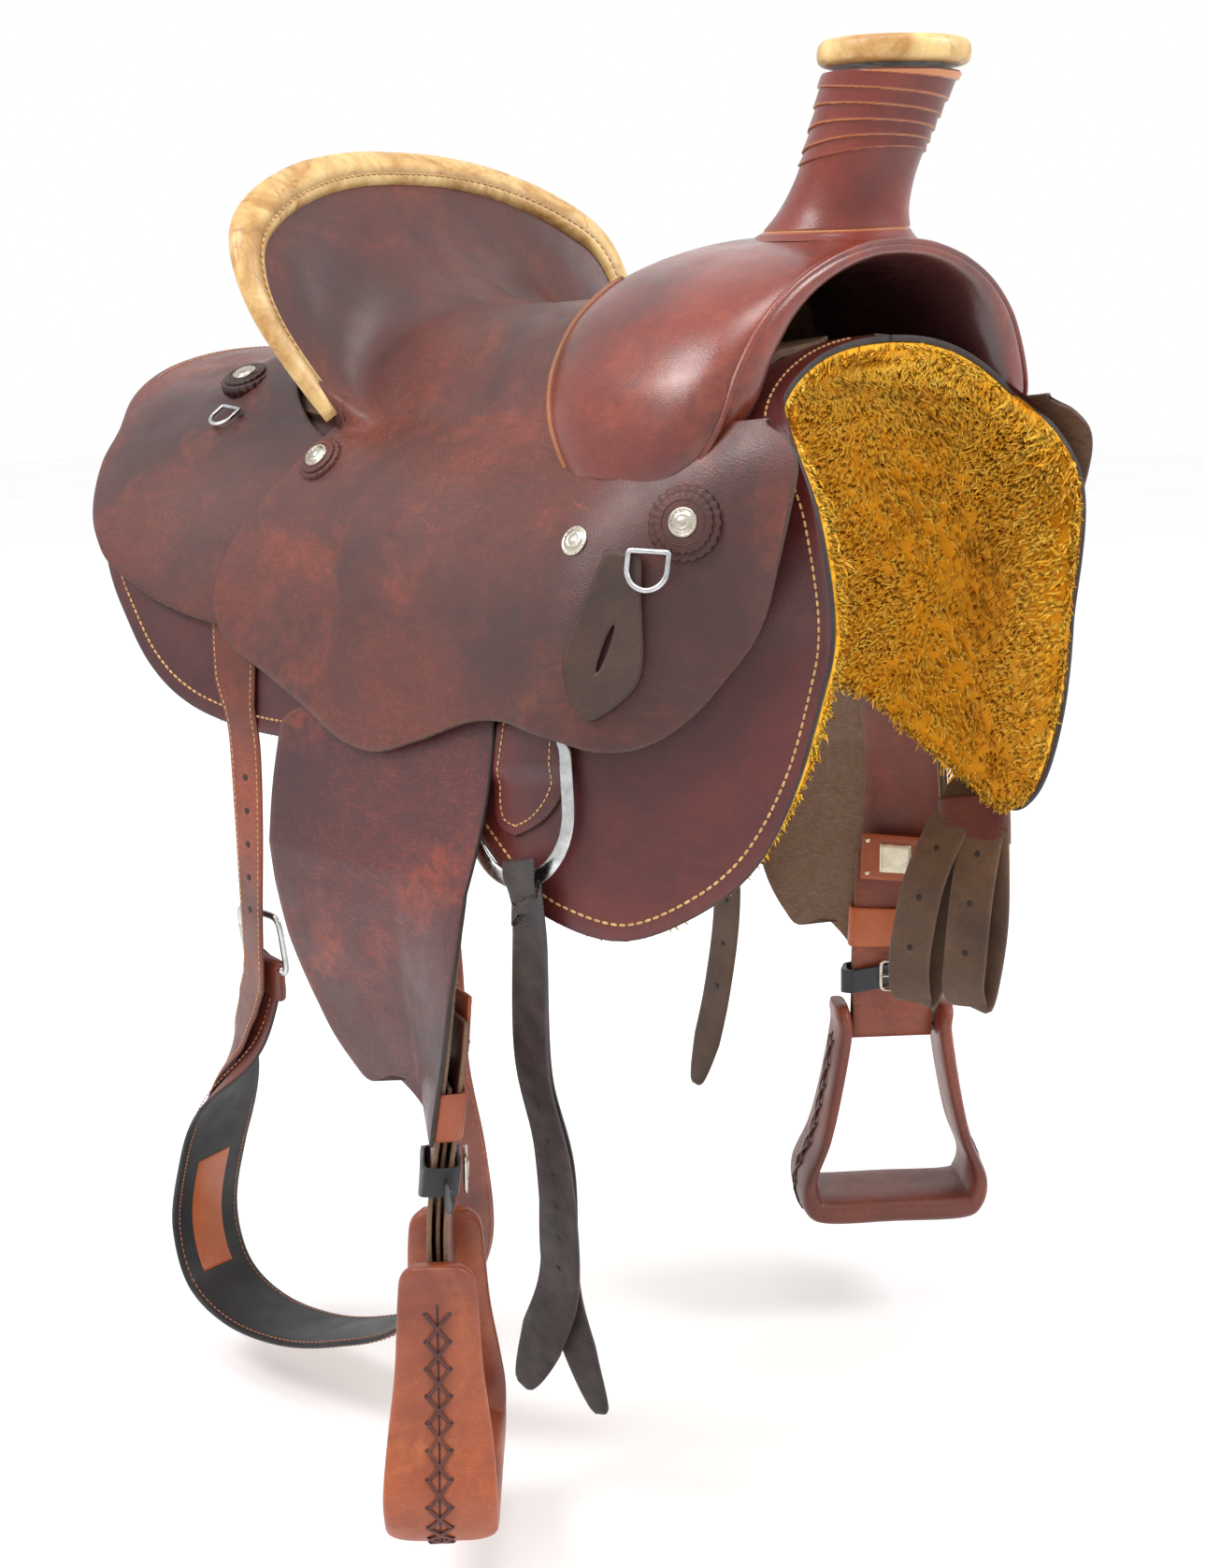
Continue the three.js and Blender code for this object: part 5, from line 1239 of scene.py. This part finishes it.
def rear_billet_left():
    on_skirt = [tuple(lay(1, x, v, 19.25)) for x, v in ((-176, 262), (-170, 300), (-160, 352))]
    rows = on_skirt + [(-150, 244, -215), (-122, 238, -300), (-102, 228, -405), (-106, 218, -500),
                       (-124, 210, -590)]
    n = 180
    path = spline(rows, n)
    start = spot(1, -168, 310, 17.5)[1]
    mixing = ease((np.arange(n + 1) - 50) / 45)[:, None]
    across = start * (1 - mixing) + np.array([1, 0, 0.05]) * mixing
    width = (40 - 10 * ease((np.arange(n + 1) - 45) / 20)) * taper(n, 1.0, 16, 0.3)
    piece = Piece("rear_billet_left_strap").loft(sweep(path, across, width, 3.4), 0)
    holes(piece, path, across, range(90, 160, 14), 1)
    piece.make([LATIGO_LEATHER, EDGE_DARK], "rear_billet_L", "leather_tan")


cinch()
rear_billet_right()
rear_billet_left()
buckle("cinch_buckle_frame", "cinch_buckle", (-184, -231.5, -360), np.array([1.0, 0, 0]),
       np.array([0, 0.15, -1.0]), 27, 27, 6, 4, 5)

# ---- legs -----------------------------------------------------------------------------------
HANG = [(-560, 249), (-440, 251), (-380, 258.5), (-330, 267), (-290, 270.6), (-262, 270.8), (-193, 255)]


MIDDLE = 37            # the middle of the stirrup leather's width
HOBBLE_SLANT = 0.2     # the rise of the hobble strap for each millimetre across


def hang(z):
    return np.interp(z, [r[0] for r in HANG], [r[1] for r in HANG])


def leg(side, w, z, d):
    """A point on the hanging leather: w across from its rear edge, d outward; flat above the hinge."""
    w, z, d = np.broadcast_arrays(*(np.asarray(t, float) for t in (w, z, d)))
    below = np.minimum(z, LIFT_Z)
    turned = LEG_TURN * ease((-below - 190) / 330)
    turn = turned * ease((w + 14) / 14)
    slope = (hang(LIFT_Z - 20) - hang(LIFT_Z)) / 20
    away = hang(below) - slope * np.maximum(z - LIFT_Z, 0)
    along = np.maximum(w, 0)
    x = LEG_REAR_X + np.minimum(w, 0) + along * np.cos(turned) - d * np.sin(turn)
    y = away + along * np.sin(turned) + d * np.cos(turn)
    return np.stack([x, y * side, z], -1)


FENDER_REAR = [(12, -96), (-14, -102), (-44, -122), (-80, -150), (-120, -165), (-137, -176), (-139, -193),
               (-137, -241), (-122, -330), (-96, -392), (-68, -424), (-54, -431), (-40, -425), (-26, -420),
               (-10, -428), (0, -436)]
FENDER_FRONT = [(12, -96), (38, -102), (58, -122), (72, -150), (76, -193), (76, -300), (76, -436)]


def fender(name, side):
    g = ruled(FENDER_REAR, FENDER_FRONT, 170, 40)
    w, z = g[..., 0], g[..., 1]
    outer, inner = leg(side, w, z, 1.6), leg(side, w, z, -1.5)
    piece = Piece(f"fender_leaf_{name}").shell(outer, inner, (0, 2, 1))
    piece.make([FENDER_LEATHER, EDGE_DARK, FLESH], [f"fender_{name}", f"fender_top_{name}"],
               "leather_brown", body="")
    obj = bpy.data.objects[f"fender_leaf_{name}"]
    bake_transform(obj)


def leg_strap(piece, side, path, w0, w1, thick, kinds=(0, 0, 1)):
    """A strap that runs along (z, d) points and spans w0 to w1 of the leg."""
    path = np.asarray(path, float)
    t = unit(np.gradient(path, axis=0))
    normal = np.stack([-t[:, 1], t[:, 0]], 1)
    w = np.linspace(w0, w1, 9)[None]
    skins = []
    for s in (0.5, -0.5):
        line = path + normal * s * thick
        skins.append(leg(side, w, line[:, :1], line[:, 1:]))
    piece.shell(*skins, kinds)


def leathers(name, side):
    bolt = BOLT_Z[side]
    arc = np.linspace(0, np.pi, 24)
    around = np.stack([bolt - 6.4 * np.sin(arc), -9.6 + 6.2 * np.cos(arc)], 1)
    down = np.stack([np.linspace(-214, bolt + 12, 60), np.full(60, -4.2)], 1)
    up = np.stack([np.linspace(bolt + 12, -352, 50), np.full(50, -15.7)], 1)
    piece = Piece(f"stirrup_strap_{name}")
    leg_strap(piece, side, np.concatenate([down, around, up]), 3, 71, 3.4)
    between = np.stack([np.linspace(-400, bolt + 16, 30), np.full(30, -10.0)], 1)
    leg_strap(piece, side, between, 6, 66, 3.2)
    piece.make([BILLET_LEATHER, FLESH], f"stirrup_leather_{name}", "leather_tan")


def hobble(name, side):
    t = circle(72)
    c, s = boxy(np.cos(t), 7), boxy(np.sin(t), 7)
    heights = np.array([-10, -9.6, -7, 0, 7, 9.6, 10])
    rings = []
    for grow, h in [(3.4, h) for h in heights] + [(0.4, h) for h in heights[::-1]]:
        w, d = MIDDLE + (39 + grow) * c, -9.3 + (10.7 + grow) * s
        rings.append(leg(side, w, HOBBLE_Z[side] + h + HOBBLE_SLANT * (w - MIDDLE), d))
    piece = Piece(f"hobble_strap_{name}")
    rings = np.stack(rings)
    piece.add(rings, quads(len(rings), 72, True, True), 0)
    z = HOBBLE_Z[side]
    tail = np.array([(74, 6), (82, 4), (94, 6), (106, 12), (116, 18)], float)
    path = leg(side, tail[:, 0], z + np.array([0, 0, 4, 9, 15]), -14 - 0.1 * tail[:, 1])
    path = spline(path, 40)
    piece.loft(sweep(path, np.array([0, 0, 1.0]), taper(40, 20, 10, 0.3), 2.8), 0)
    out = unit(leg(side, 60, z, 6) - leg(side, 60, z, 0))
    along = unit(leg(side, 70, z, 0) - leg(side, 50, z, 0))
    piece.make([BLACK_LEATHER], f"hobble_{name}", "leather_black")
    hobble_buckle = Piece(f"hobble_buckle_{name}")
    at = (leg(side, MIDDLE, z, -26), along, np.array([0, 0, -1.0]), -out)
    hobble_buckle.loft(rod(place(at, c * 12, s * 13, 1.2), at[3], 3, 3, closed=True), 0, True)
    bar = np.linspace(-12, 12, 10)
    hobble_buckle.loft(rod(place(at, bar, 0, 2.4), at[3], 2.2), 0)
    hobble_buckle.make([NICKEL], None, "steel", frame["nodes"][f"hobble_{name}"]["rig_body"])


def blevins(name, side):
    piece = Piece(f"blevins_buckle_{name}")
    w = np.linspace(8, 66, 12)[None]
    z = np.linspace(-336, -374, 12)[:, None]
    piece.shell(leg(side, w, z, -20.6), leg(side, w, z, -17.6), (0, 0, 0))
    inner_w, inner_z = np.linspace(24, 50, 8)[None], np.linspace(-343, -367, 8)[:, None]
    face, back = leg(side, inner_w, inner_z, -22.2), leg(side, inner_w, inner_z, -20.4)
    piece.shell(face, back, (1, 1, 1))
    for w0, z0 in ((13, -341), (13, -369), (61, -341), (61, -369)):
        here = leg(side, w0, z0, -20.6)
        out = unit(leg(side, w0, z0, -24) - here)
        frame_at = (here, unit(leg(side, w0 + 4, z0, -20.6) - here), np.array([0, 0, -1.0]), out)
        round_small(piece, frame_at, 2.4, 1)
    t = circle(48)
    c, s = boxy(np.cos(t), 6), boxy(np.sin(t), 6)
    sleeve = [leg(side, MIDDLE + (36.5 + grow) * c, h, -10.5 + (8.6 + grow) * s)
              for grow, h in ((2.2, -400), (2.8, -402), (2.8, -432), (2.2, -434), (0.4, -434), (0.4, -400))]
    piece.add(np.stack(sleeve), quads(6, 48, True, True), 0)
    piece.make([ORANGE_LEATHER, BRASSY], f"blevins_{name}", "steel")


for name, side, word in (("R", -1, "right"), ("L", 1, "left")):
    fender(name, side)
    leathers(name, side)
    hobble(name, side)
    blevins(name, side)

# ---- stirrups -------------------------------------------------------------------------------
EAR, FOOT, REACH, WALL, TREAD, TOP_DEPTH, LOW_DEPTH, RISE = 44, 76, 158, 14, 26, 55, 78, 25
BRANCH = [
    (EAR + 2, RISE, 90, WALL - 2, 34), (EAR + 1, RISE - 8, 90, WALL, 50), (EAR, 0, 90, WALL, TOP_DEPTH),
    (EAR + 8, -50, 84, WALL, TOP_DEPTH + 6), (FOOT - 14, -94, 74, WALL, LOW_DEPTH - 6),
    (FOOT - 1, -128, 72, WALL + 2, LOW_DEPTH), (FOOT - 4, -150, 45, WALL + 8, LOW_DEPTH),
    (FOOT - 18, -REACH, 0, TREAD, LOW_DEPTH),
]


def stirrup_frame(side):
    centre = leg(side, MIDDLE, BOLT_Z[side], -9.6)
    across = unit(leg(side, 72, BOLT_Z[side], 0) - leg(side, 2, BOLT_Z[side], 0))
    return centre, across, np.cross([0, 0, 1.0], across)


def branch_points(side, rows, t):
    """Points on the branch's skin: one station per row, and t is the place round its section."""
    centre, across, depth = stirrup_frame(side)
    a, up, turn, thick, wide = (np.asarray(rows)[..., k] for k in range(5))
    turn = np.radians(turn)
    across_part = boxy(np.cos(t), 4) * wide / 2
    thick_part = boxy(np.sin(t), 3) * thick / 2
    inward = -np.sin(turn)[..., None] * across + np.cos(turn)[..., None] * np.array([0, 0, 1.0])
    return (centre + a[..., None] * across + up[..., None] * np.array([0, 0, 1.0])
            + across_part[..., None] * depth + thick_part[..., None] * inward)


def stirrup(name, side):
    mirrored_rows = [(-a, u, -t, k, w) for a, u, t, k, w in BRANCH[:-1]][::-1]
    flat = BRANCH[-1]
    rows = BRANCH + [(0, flat[1], 0, flat[3], flat[4]), (-flat[0], *flat[1:])] + mirrored_rows
    rows = spline(rows, 200)
    t = circle(40, 0.5)
    rings = branch_points(side, rows[:, None], t[None])
    piece = Piece(f"stirrup_cover_{name}").loft(rings, 0)
    for end in (slice(12, 84), slice(117, 189)):
        face = branch_points(side, rows[end], np.full(72, -np.pi / 2))
        near = branch_points(side, rows[end], np.full(72, -np.pi / 2 + 0.35))
        out = unit(face - branch_points(side, rows[end], np.full(72, np.pi / 2)))
        wide = unit(near - face)
        lace(piece, face, wide, out)
    # Painted shade: the far, left stirrup takes the darker copy of the same leather.
    cover = STIRRUP_LEATHER if side < 0 else STIRRUP_PAINTED_SHADE
    piece.make([cover, EDGE_DARK, ROSETTE_LEATHER], f"stirrup_{name}", "leather_tan")
    centre, across, depth = stirrup_frame(side)
    ends = np.linspace(-48, 48, 14)[:, None] * across + centre
    rod_rings = rod(ends, np.array([0, 0, 1.0]), 8, 8, 16)
    bolt = Piece(f"stirrup_bolt_rod_{name}").loft(rod_rings, 0)
    for s in (-1, 1):
        head = (centre + across * s * 46, depth, np.array([0, 0, 1.0]), across * s)
        round_plate(bolt, head, [6, 6, 5, 1], [-1, 2.6, 3.4, 3.6], 0)
    bolt.make([IRON], f"stirrup_bolt_{name}", "steel")


def lace(piece, line, wide, out, pairs=12, half=7.5):
    """Cross lacing over a seam, with a hole at each end of each thong, drawn as a small dome of dark edge
    leather: painted shade in place of the opening.
    """
    at = np.linspace(2, len(line) - 3, pairs).astype(int)
    piece.loft(rod(line + out * 0.2, out, 1.6, 1.2, 8), 1)
    for k, m in zip(at[:-1], at[1:]):
        for s in (-1, 1):
            a = line[k] + wide[k] * half * s
            b = line[m] - wide[m] * half * s
            lift = out[k] * 1.4
            start, end, top = a - out[k] * 0.4, b - out[m] * 0.4, (a + b) / 2 + lift * 1.5
            path = spline([start, a + lift * 0.7, top, b + lift * 0.7, end], 12)
            piece.loft(sweep(path, wide[k] + 0.01, 2.6, 1.2, 10, (3, 3)), 2)
    # Painted shade: a small dark dome at each lace hole.
    for k in at:
        for s in (-1, 1):
            middle = line[k] + wide[k] * (half + 0.8) * s
            round_small(piece, (middle - out[k] * 0.5, wide[k], np.cross(out[k], wide[k]), out[k]), 1.7, 1)


for name, side in SIDES.items():
    stirrup(name, side)

# ---- carried-over CAD nodes -----------------------------------------------------------------
CARRIED = {"tree": TREE, "cantle_board": TREE, "ground_seat": KEEPER_LEATHER, "horn_core": WOOD}
for node, obj in frame["nodes"].items():
    if obj.hide_render:
        continue
    match = [m for start, m in CARRIED.items() if node.startswith(start)]
    obj.data.materials.clear()
    obj.data.materials.append(match[0] if match else SKIRT_LEATHER)

# ---- studio ---------------------------------------------------------------------------------
FLOOR_Z = -0.78        # metres
FLOOR_SPAN = 9000      # millimetres from the middle to each edge


def studio():
    floor = Piece("floor")
    corners = [(-1, -1), (1, -1), (1, 1), (-1, 1)]
    floor.add([(a * FLOOR_SPAN, b * FLOOR_SPAN, FLOOR_Z / MM) for a, b in corners], [[0, 1, 2, 3]])
    m = Nodes("floor_paper", 0.9)
    m.colour(m.mix(m.ramp(m.noise(3), 0.3, 0.7), srgb(250, 250, 250), srgb(253, 253, 253)))
    floor.make([m.material], None, None, "")
    world = bpy.data.worlds.new("studio")
    world.use_nodes = True
    world.node_tree.nodes["Background"].inputs[0].default_value = (1, 1, 1, 1)
    world.node_tree.nodes["Background"].inputs[1].default_value = 1.0
    bpy.context.scene.world = world
    bpy.context.scene.view_settings.view_transform = "Standard"
    for where, size, power in (
        ((-0.7, -1.9, 1.9), 1.0, 40), ((1.9, 1.0, 1.5), 0.9, 30), ((0.5, -0.6, 2.4), 1.2, 28),
    ):
        data = bpy.data.lights.new("softbox", "AREA")
        data.size, data.energy = size, power
        lamp = bpy.data.objects.new("softbox", data)
        lamp.location = where
        lamp.rotation_euler = (Vector((0, 0, -0.1)) - Vector(where)).to_track_quat("-Z", "Y").to_euler()
        bpy.context.scene.collection.objects.link(lamp)


studio()
